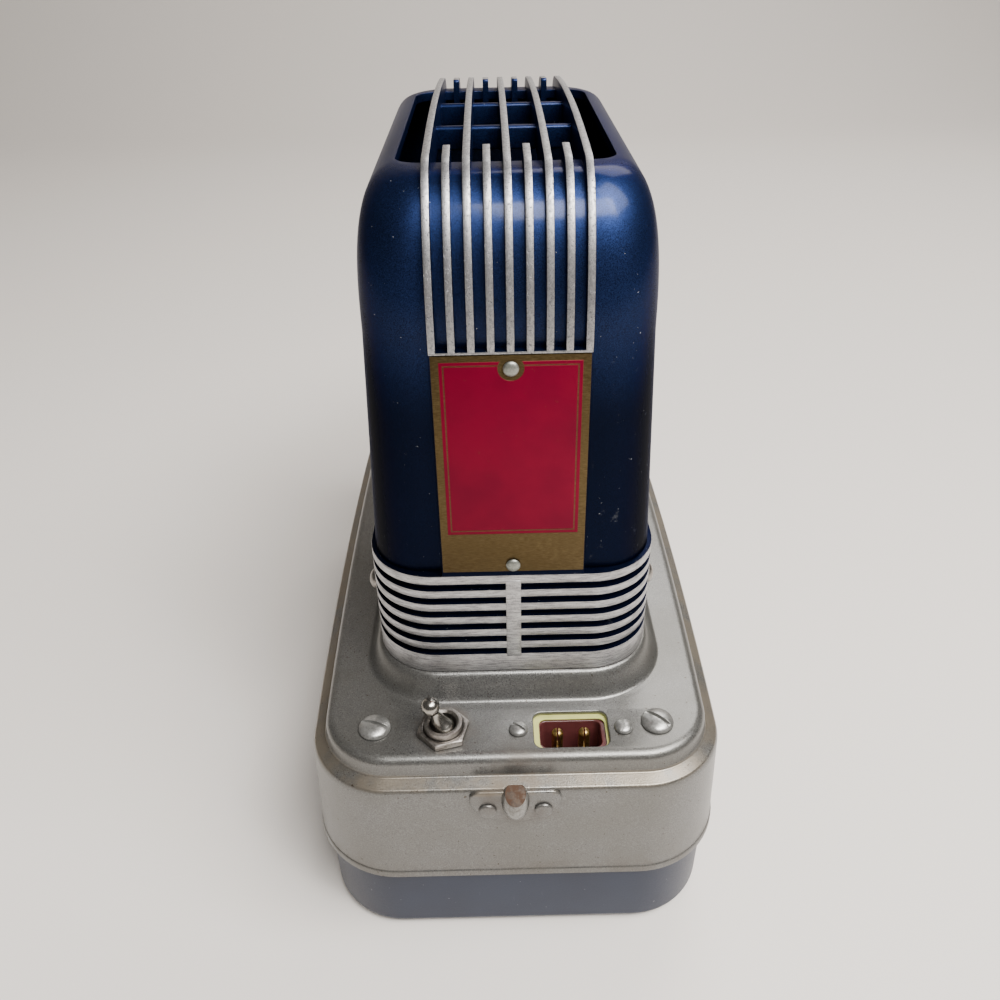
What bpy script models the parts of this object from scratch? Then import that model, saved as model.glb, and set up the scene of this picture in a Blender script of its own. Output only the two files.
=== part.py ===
# Slide projector with a finned lamphouse on a two-part pressed base.
# Metres. +Z up, the lens faces -Y, the origin is under the middle of the base.
import math

import bmesh
import bpy
from mathutils import Matrix, Vector

# Shared clearances and facet counts
GAP = 0.0003
SHAFT_CLEARANCE = 0.00016
CUT_OVERRUN = 0.002
WELD = 0.00001
CORNER_STEPS = 4
SIDE_STEPS = 3
LARGE_STEPS = 24
MEDIUM_STEPS = 16
SMALL_STEPS = 12
ARC_STEPS = 3
HEAD_STEPS = 2
ROUND_STEPS = 2
SMOOTH_ANGLE = math.radians(35)

# Base: pressed cover over a shallow pan
SHEET = 0.0012
BASE_LENGTH = 0.254
BASE_WIDTH = 0.136
BASE_CORNER = 0.0265
BASE_BOW = 0.0032
SKIRT_FOOT_Z = 0.0312
SKIRT_FLARE = 0.0013
LIP_PROUD = 0.0004
LIP_HEIGHT = 0.0024
LEDGE_Z = 0.0729
LEDGE_WIDTH = 0.0019
SHOULDER_RADIUS = 0.0022
DECK_Z = 0.0783
DECK_WALL_LEAN = 0.001
DECK_EDGE = 0.0012
FOOT_HEIGHT = 0.0015
PAN_TOP_Z = 0.044
PAN_TAPER = 0.0004
PAN_EDGE = 0.0025
INTAKE_SLOTS = 5
INTAKE_PITCH = 0.008
INTAKE_WIDTH = 0.004
INTAKE_LENGTH = 0.06
INTAKE_OFFSET = 0.016

# Lamphouse: place over the base, ring of bands and grooves, pedestal under it
REAR_DECK = 0.034
PEDESTAL_Z = 0.087
PEDESTAL_RUN = 0.0058
PEDESTAL_STEPS = 3
AIR_HOLE_LENGTH = 0.12
AIR_HOLE_WIDTH = 0.06
AIR_HOLE_CORNER = 0.012
RING_LENGTH = 0.1544
RING_WIDTH = 0.087
RING_CORNER = 0.02
RING_TOP_Z = 0.1252
GROOVES = 6
GROOVE_PITCH = 0.0051
GROOVE_HEIGHT = 0.0023
GROOVE_DEPTH = 0.0018
TOP_GROOVE_Z = 0.1209
RING_BAR_WIDTH = 0.0045
RING_BAR_PROUD = 0.0001

# Lamphouse: drafted shell, its shoulder elliptic lengthways and squarer across
SHELL_LENGTH = 0.149
SHELL_WIDTH = 0.084
SHELL_CORNER = 0.0165
SHELL_DRAFT_X = 0.0027
SHELL_DRAFT_Y = 0.0008
SHELL_WALL = 0.0026
SHOULDER_Z = 0.195
SHELL_TOP_Z = 0.2355
SHOULDER_INSET_X = 0.0145
SHOULDER_SQUARENESS_X = 3.2
SHOULDER_SQUARENESS_Y = 2
SHOULDER_INSET_Y = 0.018
SHOULDER_CORNER_LOSS = 0.005
SHOULDER_STEPS = 5
CAVITY_STEPS = 3
CROWN_WALL = 0.003

# Lamphouse: top opening, fins and cross bars
OPENING_LENGTH = 0.0992
OPENING_WIDTH = 0.0569
OPENING_CORNER = 0.007
FINS = 9
FIN_PITCH = 0.00495
FIN_WIDTH = 0.00195
FIN_PROUD = 0.0033
FIN_ROOT = 0.0012
FIN_ARCH = 0.0027
FIN_ARCH_STEPS = 2
FIN_UNDERCUT = 0.0045
SHORT_FIN_OVERHANG = 0.0017
CROSS_BAR_OFFSET = 0.0165
CROSS_BAR_THICKNESS = 0.0028
CROSS_BAR_Z = 0.2375

# Lamphouse: pad for the nameplate, nameplate and its rivets
PAD_WIDTH = 0.0416
PAD_TOP_Z = 0.1973
PAD_LEDGE = 0.002
PAD_ROOT = 0.002
NAMEPLATE_WIDTH = 0.04085
NAMEPLATE_HEIGHT = 0.0678
NAMEPLATE_THICKNESS = 0.0006
NAMEPLATE_TOP_CLEARANCE = 0.0002
PLATE_RIVET_RADIUS = 0.0021
PLATE_RIVET_HEAD = 0.0009
PLATE_RIVET_SHANK = 0.0011
PLATE_RIVET_LENGTH = 0.0026
PLATE_RIVET_TOP_INSET = 0.0036
PLATE_RIVET_FOOT_INSET = 0.0024

# Screws in the sides of the ring
SIDE_SCREW_OFFSET = 0.0522
SIDE_SCREW_Z = 0.1056
SIDE_SCREW_RADIUS = 0.0036
SIDE_SCREW_HEAD = 0.0026
SIDE_SCREW_SHANK = 0.0019
SIDE_SCREW_SLOT = 0.0009

# Deck screws and the posts in the pan that take them
DECK_SCREW_X = 0.0435
DECK_SCREW_INSET = 0.0191
DECK_SCREW_RADIUS = 0.005
DECK_SCREW_HEAD = 0.0024
DECK_SCREW_SHANK = 0.002
DECK_SCREW_LENGTH = 0.012
DECK_SCREW_SLOT = 0.0012
DECK_SCREW_TURNS = (12, 62, -35, 80)
POST_RADIUS = 0.0045
POST_BORE_DEPTH = 0.015

# Case catches at both ends of the cover
CATCH_X = 0.0008
CATCH_WIDTH = 0.0275
CATCH_HEIGHT = 0.013
CATCH_EAR = 0.0075
CATCH_THICKNESS = 0.0011
CATCH_TOP_Z = 0.0707
CATCH_RIVET_SPACING = 0.0168
CATCH_RIVET_Z = 0.0632
CATCH_RIVET_RADIUS = 0.0026
CATCH_RIVET_HEAD = 0.0009
CATCH_RIVET_SHANK = 0.0013
CATCH_RIVET_LENGTH = 0.0032
CATCH_NOSE_WIDTH = 0.008
CATCH_NOSE_HEIGHT = 0.0108
CATCH_NOSE_PROUD = 0.0046
CATCH_NOSE_Z = 0.0672

# Rubber feet
FOOT_SIDE_INSET = 0.022
FOOT_END_INSET = 0.03
FOOT_RADIUS = 0.0075
FOOT_CHAMFER = 0.0006
FOOT_STEM = 0.0027
FOOT_HEAD_RADIUS = 0.0042
FOOT_HEAD_HEIGHT = 0.0015

# Row of fittings across the back of the deck
FITTINGS_INSET = 0.0172

# Toggle switch
TOGGLE_X = 0.0222
TOGGLE_TILT = 20
TOGGLE_BODY_LENGTH = 0.027
TOGGLE_BODY_WIDTH = 0.0145
TOGGLE_BODY_DEPTH = 0.026
BUSHING_RADIUS = 0.0059
BUSHING_HEIGHT = 0.0046
BUSHING_BORE = 0.0042
BUSHING_MOUTH = 0.0008
BUSHING_BORE_DEPTH = 0.0085
TOGGLE_PIVOT_DEPTH = 0.003
NUT_FLATS = 0.0143
NUT_HEIGHT = 0.0022
NUT_SIDES = 6
LEVER_LENGTH = 0.01
LEVER_BALL = 0.0029
LEVER_BALL_SWEEP = math.radians(140)
LEVER_NECK = 0.00125
LEVER_WAIST = 0.0019
LEVER_PIVOT_RADIUS = 0.0038
LEVER_PIVOT_HEIGHT = 0.0022
LEVER_TAIL = 0.0038

# Power inlet
INLET_X = -0.0168
INLET_WINDOW_LENGTH = 0.0228
INLET_WINDOW_WIDTH = 0.0141
INLET_WINDOW_CORNER = 0.0028
INSULATOR_LENGTH = 0.0398
INSULATOR_WIDTH = 0.0172
INSULATOR_THICKNESS = 0.0005
INSULATOR_EDGE = 0.0012
INLET_BODY_LENGTH = 0.0402
INLET_BODY_WIDTH = 0.0176
INLET_BODY_DEPTH = 0.02
INLET_WELL_LENGTH = 0.0186
INLET_WELL_WIDTH = 0.0102
INLET_WELL_DEPTH = 0.013
INLET_WELL_CORNER = 0.002
INLET_PIN_SPACING = 0.0082
INLET_PIN_RADIUS = 0.0019
INLET_PIN_RECESS = 0.003
INLET_PIN_TAIL = 0.004
INLET_SCREW_OFFSET = 0.0161
INLET_SCREW_RADIUS = 0.0029
INLET_SCREW_HEAD = 0.0016
INLET_SCREW_SHANK = 0.0013
INLET_SCREW_LENGTH = 0.011
INLET_SCREW_SLOT = 0.0008
INLET_SCREW_TURNS = (-12, 10)

# Optical train: axis height and the place of each piece along it
AXIS_Z = 0.161
LAMP_OFFSET = 0.0342
REAR_CONDENSER_OFFSET = 0.0022
HEAT_GLASS_OFFSET = -0.0108
FRONT_CONDENSER_OFFSET = -0.0248
GATE_OFFSET = -0.0458

# Optics frame inside the lamphouse
FRAME_SHEET = 0.0015
HOLDER_RADIUS = 0.0265
HOLDER_THICKNESS = 0.004
REFLECTOR_POST_WIDTH = 0.018
REFLECTOR_POST_TOP = 0.009
TAB_WIDTH = 0.0082
TAB_TOP_Z = 0.112
VENT_WIDTH = 0.012
VENT_LENGTH = 0.042
VENT_X = 0.0265
FRONT_VENT_WIDTH = 0.04
FRONT_VENT_LENGTH = 0.006

# Condensers, heat glass and reflector
CONDENSER_RADIUS = 0.022
CONDENSER_EDGE = 0.0034
CONDENSER_SAG = 0.005
HEAT_GLASS_THICKNESS = 0.003
REFLECTOR_CURVE = 0.03
REFLECTOR_RADIUS = 0.024
REFLECTOR_WALL = 0.0012
REFLECTOR_SHOULDER = 0.005
REFLECTOR_STUD = 0.0028
REFLECTOR_STUD_LENGTH = 0.0022

# Lamp and socket
SOCKET_RADIUS = 0.018
SOCKET_BORE = 0.0135
SOCKET_TOP_Z = 0.1044
SOCKET_FLOOR = 0.002
LAMP_BASE_RADIUS = 0.013
LAMP_FLANGE_RADIUS = 0.0172
LAMP_FLANGE_THICKNESS = 0.0015
LAMP_NECK_RADIUS = 0.0118
LAMP_NECK_Z = 0.114
BULB_RADIUS = 0.016
BULB_TOP_Z = 0.222
BULB_WALL = 0.001
BULB_SHOULDER = 0.006
FILAMENT_WIRE = 0.0004
FILAMENT_SIZE = 0.012
FILAMENT_LEGS = 6
FILAMENT_LEADS = 0.008

# Slide gate and carrier
CARRIER_THICKNESS = 0.007
CARRIER_HEIGHT = 0.0554
CARRIER_LENGTH = 0.098
SLIDE_SIZE = 0.0512
SLIDE_SLOT = 0.0044
SLIDE_FLOOR = 0.0022
CARRIER_WINDOW = 0.038
GRIP_LENGTH = 0.003
GRIP_WIDTH = 0.014
GRIP_HEIGHT = 0.026
GATE_WALL = 0.003
GATE_LENGTH = 0.0716
GATE_APERTURE = 0.04
GATE_LEG = 0.006
GUIDE_CLEARANCE = 0.0004

# Lens tube on the front of the lamphouse
LENS_BOSS_RADIUS = 0.032
LENS_BOSS_PROUD = 0.0048
TUBE_FLANGE_RADIUS = 0.0308
TUBE_FLANGE = 0.0032
TUBE_RADIUS = 0.0265
TUBE_LENGTH = 0.0525
TUBE_SPIGOT = 0.006
TUBE_SPIGOT_RADIUS = 0.0252
BARREL_RADIUS = 0.023
BARREL_BORE = 0.0198
BARREL_LENGTH = 0.054
BARREL_CLEARANCE = 0.0003
BARREL_LIP_RADIUS = 0.0255
BARREL_LIP = 0.005
LIP_GROOVES = 2
LIP_GROOVE_DEPTH = 0.0006
LENS_EDGE = 0.004
LENS_SAG = 0.0024
FRONT_LENS_INSET = 0.003
REAR_LENS_INSET = 0.004

# Rack and pinion focusing
GEAR_MODULE = 0.001
PINION_TEETH = 12
RACK_GAPS = 14
RACK_LEAD = 1
RACK_WIDTH = 0.006
RACK_DROP = 0.0262
PINION_SETBACK = 0.0115
TOOTH_BACKLASH = 0.0003
TOOTH_SLOPE = math.radians(20)
ADDENDUM_SHARE = 0.9
DEDENDUM_SHARE = 1.2
PINION_SHAFT = 0.002
GEARBOX_WALL = 0.0024
KNOB_RADIUS = 0.0125
KNOB_WIDTH = 0.012
KNOB_FLUTES = 20
KNOB_FLUTE_DEPTH = 0.0006
KNOB_HUB_RADIUS = 0.0045
KNOB_HUB = 0.0128

# Fan motor
MOTOR_CORE_LENGTH = 0.068
MOTOR_CORE_HEIGHT = 0.018
MOTOR_CORE_Z = 0.022
MOTOR_CORE_REACH = 0.018
MOTOR_LIMB = 0.013
MOTOR_WINDOW_WIDTH = 0.03
MOTOR_WINDOW_START = 0.019
ROTOR_RADIUS = 0.013
ROTOR_AIR_GAP = 0.0005
ROTOR_HEIGHT = 0.02
MOTOR_SHAFT = 0.002
COIL_WALL = 0.008
COIL_ROUND = 0.003
BRACKET_SHEET = 0.002
BRACKET_WIDTH = 0.016
BRACKET_POST = 0.004
BRACKET_SPAN = 0.068
BRACKET_TOP_Z = 0.0485
BEARING_RADIUS = 0.005
BEARING_HEIGHT = 0.0055

# Fan wheel
FAN_BLADES = 5
FAN_RADIUS = 0.041
FAN_HUB_RADIUS = 0.009
FAN_HUB_HEIGHT = 0.014
FAN_Z = 0.056
BLADE_THICKNESS = 0.0012
BLADE_ROOT_CHORD = 0.017
BLADE_TIP_CHORD = 0.026
BLADE_CAMBER = 0.0022
BLADE_ROOT_PITCH = math.radians(46)
BLADE_TIP_PITCH = math.radians(27)
BLADE_SECTIONS = 4

# Elevating leg at the front of the pan
LEG_INSET = 0.019
LEG_RADIUS = 0.004
LEG_TOP_Z = 0.05
LEG_TIP_RADIUS = 0.007
LEG_TIP_FLOOR_Z = 0.0006
LEG_TIP_HEIGHT = 0.0065
LEG_SPIGOT = 0.0028
LEG_SPIGOT_LENGTH = 0.004
LEG_HOLE_CLEARANCE = 0.0006
WHEEL_RADIUS = 0.021
WHEEL_HEIGHT = 0.008
WHEEL_Z = 0.0143
WHEEL_KNURLS = 30
WHEEL_KNURL_DEPTH = 0.0006
ELEVATOR_WIDTH = 0.024
ELEVATOR_SHEET = 0.0015
ELEVATOR_REACH = 0.01
ELEVATOR_WALL_OFFSET = 0.0228
ELEVATOR_FLANGE = 0.012
WHEEL_SLOT_CLEARANCE = 0.0008

# Places that follow from the sizes above
HOUSING_Y = BASE_LENGTH / 2 - REAR_DECK - RING_LENGTH / 2
DECK_SCREW_Y = BASE_LENGTH / 2 - DECK_SCREW_INSET
FITTINGS_Y = BASE_LENGTH / 2 - FITTINGS_INSET
FOOT_X = BASE_WIDTH / 2 - FOOT_SIDE_INSET
FOOT_Y = BASE_LENGTH / 2 - FOOT_END_INSET
LEG_Y = LEG_INSET - BASE_LENGTH / 2
LAMP_Y = HOUSING_Y + LAMP_OFFSET
REAR_CONDENSER_Y = HOUSING_Y + REAR_CONDENSER_OFFSET
HEAT_GLASS_Y = HOUSING_Y + HEAT_GLASS_OFFSET
FRONT_CONDENSER_Y = HOUSING_Y + FRONT_CONDENSER_OFFSET
GATE_Y = HOUSING_Y + GATE_OFFSET
NAMEPLATE_FOOT_Z = PAD_TOP_Z - PAD_LEDGE - NAMEPLATE_TOP_CLEARANCE - NAMEPLATE_HEIGHT
PAN_BOTTOM_Z = FOOT_HEIGHT + GAP
PAN_FLOOR_Z = PAN_BOTTOM_Z + SHEET
DECK_UNDER_Z = DECK_Z - SHEET
HOUSING_BOTTOM_Z = PEDESTAL_Z + GAP
FRAME_Z = PEDESTAL_Z + GAP
FRAME_TOP_Z = FRAME_Z + FRAME_SHEET
CAVITY_X = SHELL_WIDTH / 2 - SHELL_WALL
CAVITY_Y = SHELL_LENGTH / 2 - SHELL_WALL
PITCH_RADIUS = GEAR_MODULE * PINION_TEETH / 2
RACK_PITCH = math.pi * GEAR_MODULE
BOSS_Y = HOUSING_Y - SHELL_LENGTH / 2 - LENS_BOSS_PROUD
TUBE_Y = BOSS_Y - GAP
TUBE_FRONT_Y = TUBE_Y - TUBE_LENGTH
PINION_Y = TUBE_FRONT_Y + PINION_SETBACK
PINION_Z = AXIS_Z - RACK_DROP - PITCH_RADIUS
SKIRT_TOP_Z = LEDGE_Z - SHOULDER_RADIUS
SKIRT_LEAN = math.atan2(SKIRT_FLARE, SKIRT_TOP_Z - SKIRT_FOOT_Z)

# Colours, roughness and metallic value of each finish
FINISHES = {
    "cover_paint": ((0.27, 0.26, 0.24), 0.45, 0.5),
    "pan_paint": ((0.07, 0.09, 0.14), 0.4, 0.2),
    "housing_enamel": ((0.01, 0.02, 0.08), 0.25, 0.6),
    "plate_red": ((0.3, 0.01, 0.03), 0.35, 0.4),
    "nickel": ((0.6, 0.58, 0.54), 0.3, 1.0),
    "aluminium": ((0.62, 0.62, 0.6), 0.4, 1.0),
    "steel": ((0.45, 0.45, 0.45), 0.4, 1.0),
    "brass": ((0.6, 0.42, 0.16), 0.35, 1.0),
    "copper": ((0.5, 0.2, 0.1), 0.4, 1.0),
    "rubber": ((0.02, 0.02, 0.02), 0.8, 0.0),
    "phenolic": ((0.09, 0.03, 0.02), 0.4, 0.0),
    "insulator": ((0.5, 0.5, 0.15), 0.7, 0.0),
    "glass": ((0.9, 0.95, 0.95), 0.05, 0.0),
    "mirror": ((0.9, 0.9, 0.9), 0.05, 1.0),
    "black": ((0.02, 0.02, 0.022), 0.45, 0.0),
    "ceramic": ((0.7, 0.68, 0.62), 0.5, 0.0),
}

TURNS = {
    "Z": Matrix.Identity(4),
    "X": Matrix.Rotation(math.pi / 2, 4, "Y"),
    "-X": Matrix.Rotation(-math.pi / 2, 4, "Y"),
    "Y": Matrix.Rotation(-math.pi / 2, 4, "X"),
    "-Y": Matrix.Rotation(math.pi / 2, 4, "X"),
}
PLANE_XZ = Matrix.Rotation(math.pi / 2, 4, "X")
PLANE_YZ = Matrix(((0, 0, 1, 0), (1, 0, 0, 0), (0, 1, 0, 0), (0, 0, 0, 1)))


# Scene set-up
def clear_scene():
    for old in list(bpy.data.objects):
        bpy.data.objects.remove(old)


def new_collection(name):
    collection = bpy.data.collections.new(name)
    bpy.context.scene.collection.children.link(collection)
    return collection


def finish(name):
    material = bpy.data.materials.get(name)
    if material is None:
        colour, roughness, metallic = FINISHES[name]
        material = bpy.data.materials.new(name)
        material.use_nodes = True
        shader = material.node_tree.nodes["Principled BSDF"]
        shader.inputs["Base Color"].default_value = (*colour, 1)
        shader.inputs["Roughness"].default_value = roughness
        shader.inputs["Metallic"].default_value = metallic
    return material


# Objects from meshes: with a finish it is a part, without one a cutter
def place(name, mesh, coat=None, at=(0, 0, 0), turn=None):
    item = bpy.data.objects.new(name, mesh)
    item.matrix_world = Matrix.Translation(at) @ (turn or Matrix.Identity(4))
    if coat:
        mesh.materials.append(finish(coat))
        PARTS.objects.link(item)
    else:
        CUTTERS.objects.link(item)
        item.hide_render = True
        item.display_type = "WIRE"
    return item


def from_bmesh(name, shape, coat=None, at=(0, 0, 0), turn=None):
    bmesh.ops.recalc_face_normals(shape, faces=shape.faces)
    mesh = bpy.data.meshes.new(name)
    shape.to_mesh(mesh)
    shape.free()
    mesh.shade_smooth()
    mesh.set_sharp_from_angle(angle=SMOOTH_ANGLE)
    return place(name, mesh, coat, at, turn)


def box(name, low, high, coat=None):
    size = [b - a for a, b in zip(low, high)]
    middle = [(a + b) / 2 for a, b in zip(low, high)]
    shape = bmesh.new()
    bmesh.ops.create_cube(shape, size=1, matrix=Matrix.Diagonal((*size, 1)))
    return from_bmesh(name, shape, coat, middle)


def rod(name, radius, at, length, axis="Z", coat=None, steps=SMALL_STEPS):
    shape = bmesh.new()
    rise = Matrix.Translation((0, 0, length / 2))
    bmesh.ops.create_cone(shape, cap_ends=True, segments=steps, radius1=radius, radius2=radius,
                          depth=length, matrix=rise)
    return from_bmesh(name, shape, coat, at, TURNS[axis])


# A turned piece: the profile holds (radius, height) from top to bottom on the outer side
def turned(name, profile, at, axis="Z", coat=None, steps=MEDIUM_STEPS, ring=False):
    count = len(profile)
    edges = [(i, i + 1) for i in range(count - 1)]
    if ring:
        edges.append((count - 1, 0))
    mesh = bpy.data.meshes.new(name)
    mesh.from_pydata([(radius, 0, height) for radius, height in profile], edges, [])
    item = place(name, mesh, coat, at, TURNS[axis])
    screw = item.modifiers.new("Turn", "SCREW")
    screw.steps = steps
    screw.render_steps = steps
    screw.use_merge_vertices = True
    screw.merge_threshold = WELD
    return item


# A flat outline extruded about its own plane
def prism(name, outline, thickness, at, turn=None, coat=None):
    curve = bpy.data.curves.new(name, "CURVE")
    curve.dimensions = "2D"
    curve.fill_mode = "BOTH"
    curve.extrude = thickness / 2
    spline = curve.splines.new("POLY")
    spline.points.add(len(outline) - 1)
    for point, (x, y) in zip(spline.points, outline):
        point.co = (x, y, 0, 1)
    spline.use_cyclic_u = True
    return mesh_from_curve(name, curve, coat, at, turn)


def mesh_from_curve(name, curve, coat=None, at=(0, 0, 0), turn=None):
    holder = bpy.data.objects.new(name + "_curve", curve)
    CUTTERS.objects.link(holder)
    bpy.context.view_layer.update()
    evaluated = holder.evaluated_get(bpy.context.evaluated_depsgraph_get())
    mesh = bpy.data.meshes.new_from_object(evaluated)
    shape = bmesh.new()
    shape.from_mesh(mesh)
    bmesh.ops.remove_doubles(shape, verts=shape.verts, dist=WELD)
    bpy.data.objects.remove(holder)
    bpy.data.meshes.remove(mesh)
    return from_bmesh(name, shape, coat, at, turn)


# A skin through a row of rings with the same number of points
def loft(name, rings, coat=None, capped=True, at=(0, 0, 0), turn=None):
    shape = bmesh.new()
    rows = [[shape.verts.new(point) for point in ring] for ring in rings]
    count = len(rows[0])
    for lower, upper in zip(rows, rows[1:]):
        for i in range(count):
            j = (i + 1) % count
            shape.faces.new((lower[i], lower[j], upper[j], upper[i]))
    if capped:
        shape.faces.new(reversed(rows[0]))
        shape.faces.new(rows[-1])
    return from_bmesh(name, shape, coat, at, turn)


def solidify(item, thickness):
    wall = item.modifiers.new("Wall", "SOLIDIFY")
    wall.thickness = thickness
    wall.offset = -1
    wall.use_even_offset = True


def bevel(item, width, segments=1):
    edge = item.modifiers.new("Edge", "BEVEL")
    edge.width = width
    edge.segments = segments


def combine(item, tools, operation):
    for tool in tools:
        step = item.modifiers.new(tool.name, "BOOLEAN")
        step.operation = operation
        step.object = tool


def cut(item, *tools):
    combine(item, tools, "DIFFERENCE")


def join(item, *tools):
    combine(item, tools, "UNION")


# Outlines
def rounded_outline(half_x, half_y, radius, bow=0.0, side_steps=1):
    points = []
    corners = ((1, 1, 0), (-1, 1, 90), (-1, -1, 180), (1, -1, 270))
    for side_x, side_y, start in corners:
        if (side_x, side_y) == (-1, -1):
            points += side_points(-half_x, half_y - radius, side_steps)
        for i in range(CORNER_STEPS + 1):
            angle = math.radians(start + 90 * i / CORNER_STEPS)
            points.append((side_x * (half_x - radius) + radius * math.cos(angle),
                           side_y * (half_y - radius) + radius * math.sin(angle)))
    points += side_points(half_x, radius - half_y, side_steps)
    return [(x - math.copysign(bow * (y / half_y) ** 2, x), y) for x, y in points]


def side_points(x, start_y, steps):
    return [(x, start_y * (1 - 2 * i / steps)) for i in range(1, steps)]


def ring_at(outline, z, centre_y=0.0):
    return [(x, y + centre_y, z) for x, y in outline]


def dome(radius, height):
    angles = [math.pi / 2 * (1 - i / HEAD_STEPS) for i in range(HEAD_STEPS + 1)]
    return [(radius * math.cos(angle), height * math.sin(angle)) for angle in angles]


def flower(radius, depth, lobes):
    count = lobes * 2
    radii = (radius, radius - depth)
    return [(radii[i % 2] * math.cos(math.tau * i / count),
             radii[i % 2] * math.sin(math.tau * i / count)) for i in range(count)]


# Base cover: one pressing with skirt, ledge, deck and pedestal
def base_outline(inset):
    half_x = BASE_WIDTH / 2 - inset
    half_y = BASE_LENGTH / 2 - inset
    return rounded_outline(half_x, half_y, BASE_CORNER - inset, BASE_BOW, SIDE_STEPS)


def skirt_inset(z):
    return SKIRT_FLARE * (z - SKIRT_FOOT_Z) / (SKIRT_TOP_Z - SKIRT_FOOT_Z)


def rounded_step(inset, z, radius):
    angles = [math.pi / 2 * (i + 1) / ROUND_STEPS for i in range(ROUND_STEPS)]
    return [(inset + radius * (1 - math.cos(angle)), z + radius * math.sin(angle)) for angle in angles]


def cover_profile():
    lip_top = SKIRT_FOOT_Z + LIP_HEIGHT
    profile = [(-LIP_PROUD, SKIRT_FOOT_Z), (-LIP_PROUD, lip_top), (0, lip_top + LIP_PROUD)]
    profile.append((SKIRT_FLARE, SKIRT_TOP_Z))
    profile += rounded_step(SKIRT_FLARE, SKIRT_TOP_Z, SHOULDER_RADIUS)
    wall = SKIRT_FLARE + SHOULDER_RADIUS + LEDGE_WIDTH
    profile.append((wall, LEDGE_Z))
    profile.append((wall + DECK_WALL_LEAN, DECK_Z - DECK_EDGE))
    profile += rounded_step(wall + DECK_WALL_LEAN, DECK_Z - DECK_EDGE, DECK_EDGE)
    return profile


def pedestal_rings():
    rings = []
    for i in range(PEDESTAL_STEPS + 1):
        share = i / PEDESTAL_STEPS
        grow = PEDESTAL_RUN * (1 - share)
        rise = (PEDESTAL_Z - DECK_Z) * (1 - math.cos(math.pi * share)) / 2
        outline = rounded_outline(RING_WIDTH / 2 + grow, RING_LENGTH / 2 + grow, RING_CORNER + grow,
                                  side_steps=SIDE_STEPS)
        rings.append(ring_at(outline, DECK_Z + rise, HOUSING_Y))
    hole = rounded_outline(AIR_HOLE_WIDTH / 2, AIR_HOLE_LENGTH / 2, AIR_HOLE_CORNER, side_steps=SIDE_STEPS)
    rings.append(ring_at(hole, PEDESTAL_Z, HOUSING_Y))
    return rings


def make_base_cover():
    rings = [ring_at(base_outline(inset), z) for inset, z in cover_profile()]
    cover = loft("base_cover", rings + pedestal_rings(), "cover_paint", capped=False)
    solidify(cover, SHEET)
    under = DECK_Z - SHEET - CUT_OVERRUN
    through = SHEET + 2 * CUT_OVERRUN
    for i, (x, y) in enumerate(deck_screw_places()):
        cut(cover, rod(f"cover_screw_hole_{i}", DECK_SCREW_SHANK + GAP, (x, y, under), through))
    cut(cover, rod("bushing_hole", BUSHING_RADIUS + GAP, (TOGGLE_X, FITTINGS_Y, under), through,
                   steps=MEDIUM_STEPS))
    window = rounded_outline(INLET_WINDOW_LENGTH / 2, INLET_WINDOW_WIDTH / 2, INLET_WINDOW_CORNER)
    levels = (under, under + through)
    cut(cover, loft("inlet_window", [ring_at(window, z) for z in levels], at=(INLET_X, FITTINGS_Y, 0)))
    for i, x in enumerate(inlet_screw_places()):
        cut(cover, rod(f"inlet_screw_hole_{i}", INLET_SCREW_SHANK + GAP, (x, FITTINGS_Y, under), through))
    for end in (1, -1):
        for side in (1, -1):
            cut(cover, catch_rivet_hole(end, side))


def deck_screw_places():
    return [(x, y) for y in (DECK_SCREW_Y, -DECK_SCREW_Y) for x in (DECK_SCREW_X, -DECK_SCREW_X)]


def inlet_screw_places():
    return (INLET_X + INLET_SCREW_OFFSET, INLET_X - INLET_SCREW_OFFSET)


# Base pan: shallow tray with screw posts, intake slots and the wheel's slot
def pan_outer_inset(z):
    top = skirt_inset(PAN_TOP_Z) + SHEET + GAP
    return top + PAN_TAPER * (PAN_TOP_Z - z) / (PAN_TOP_Z - PAN_BOTTOM_Z - PAN_EDGE)


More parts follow.
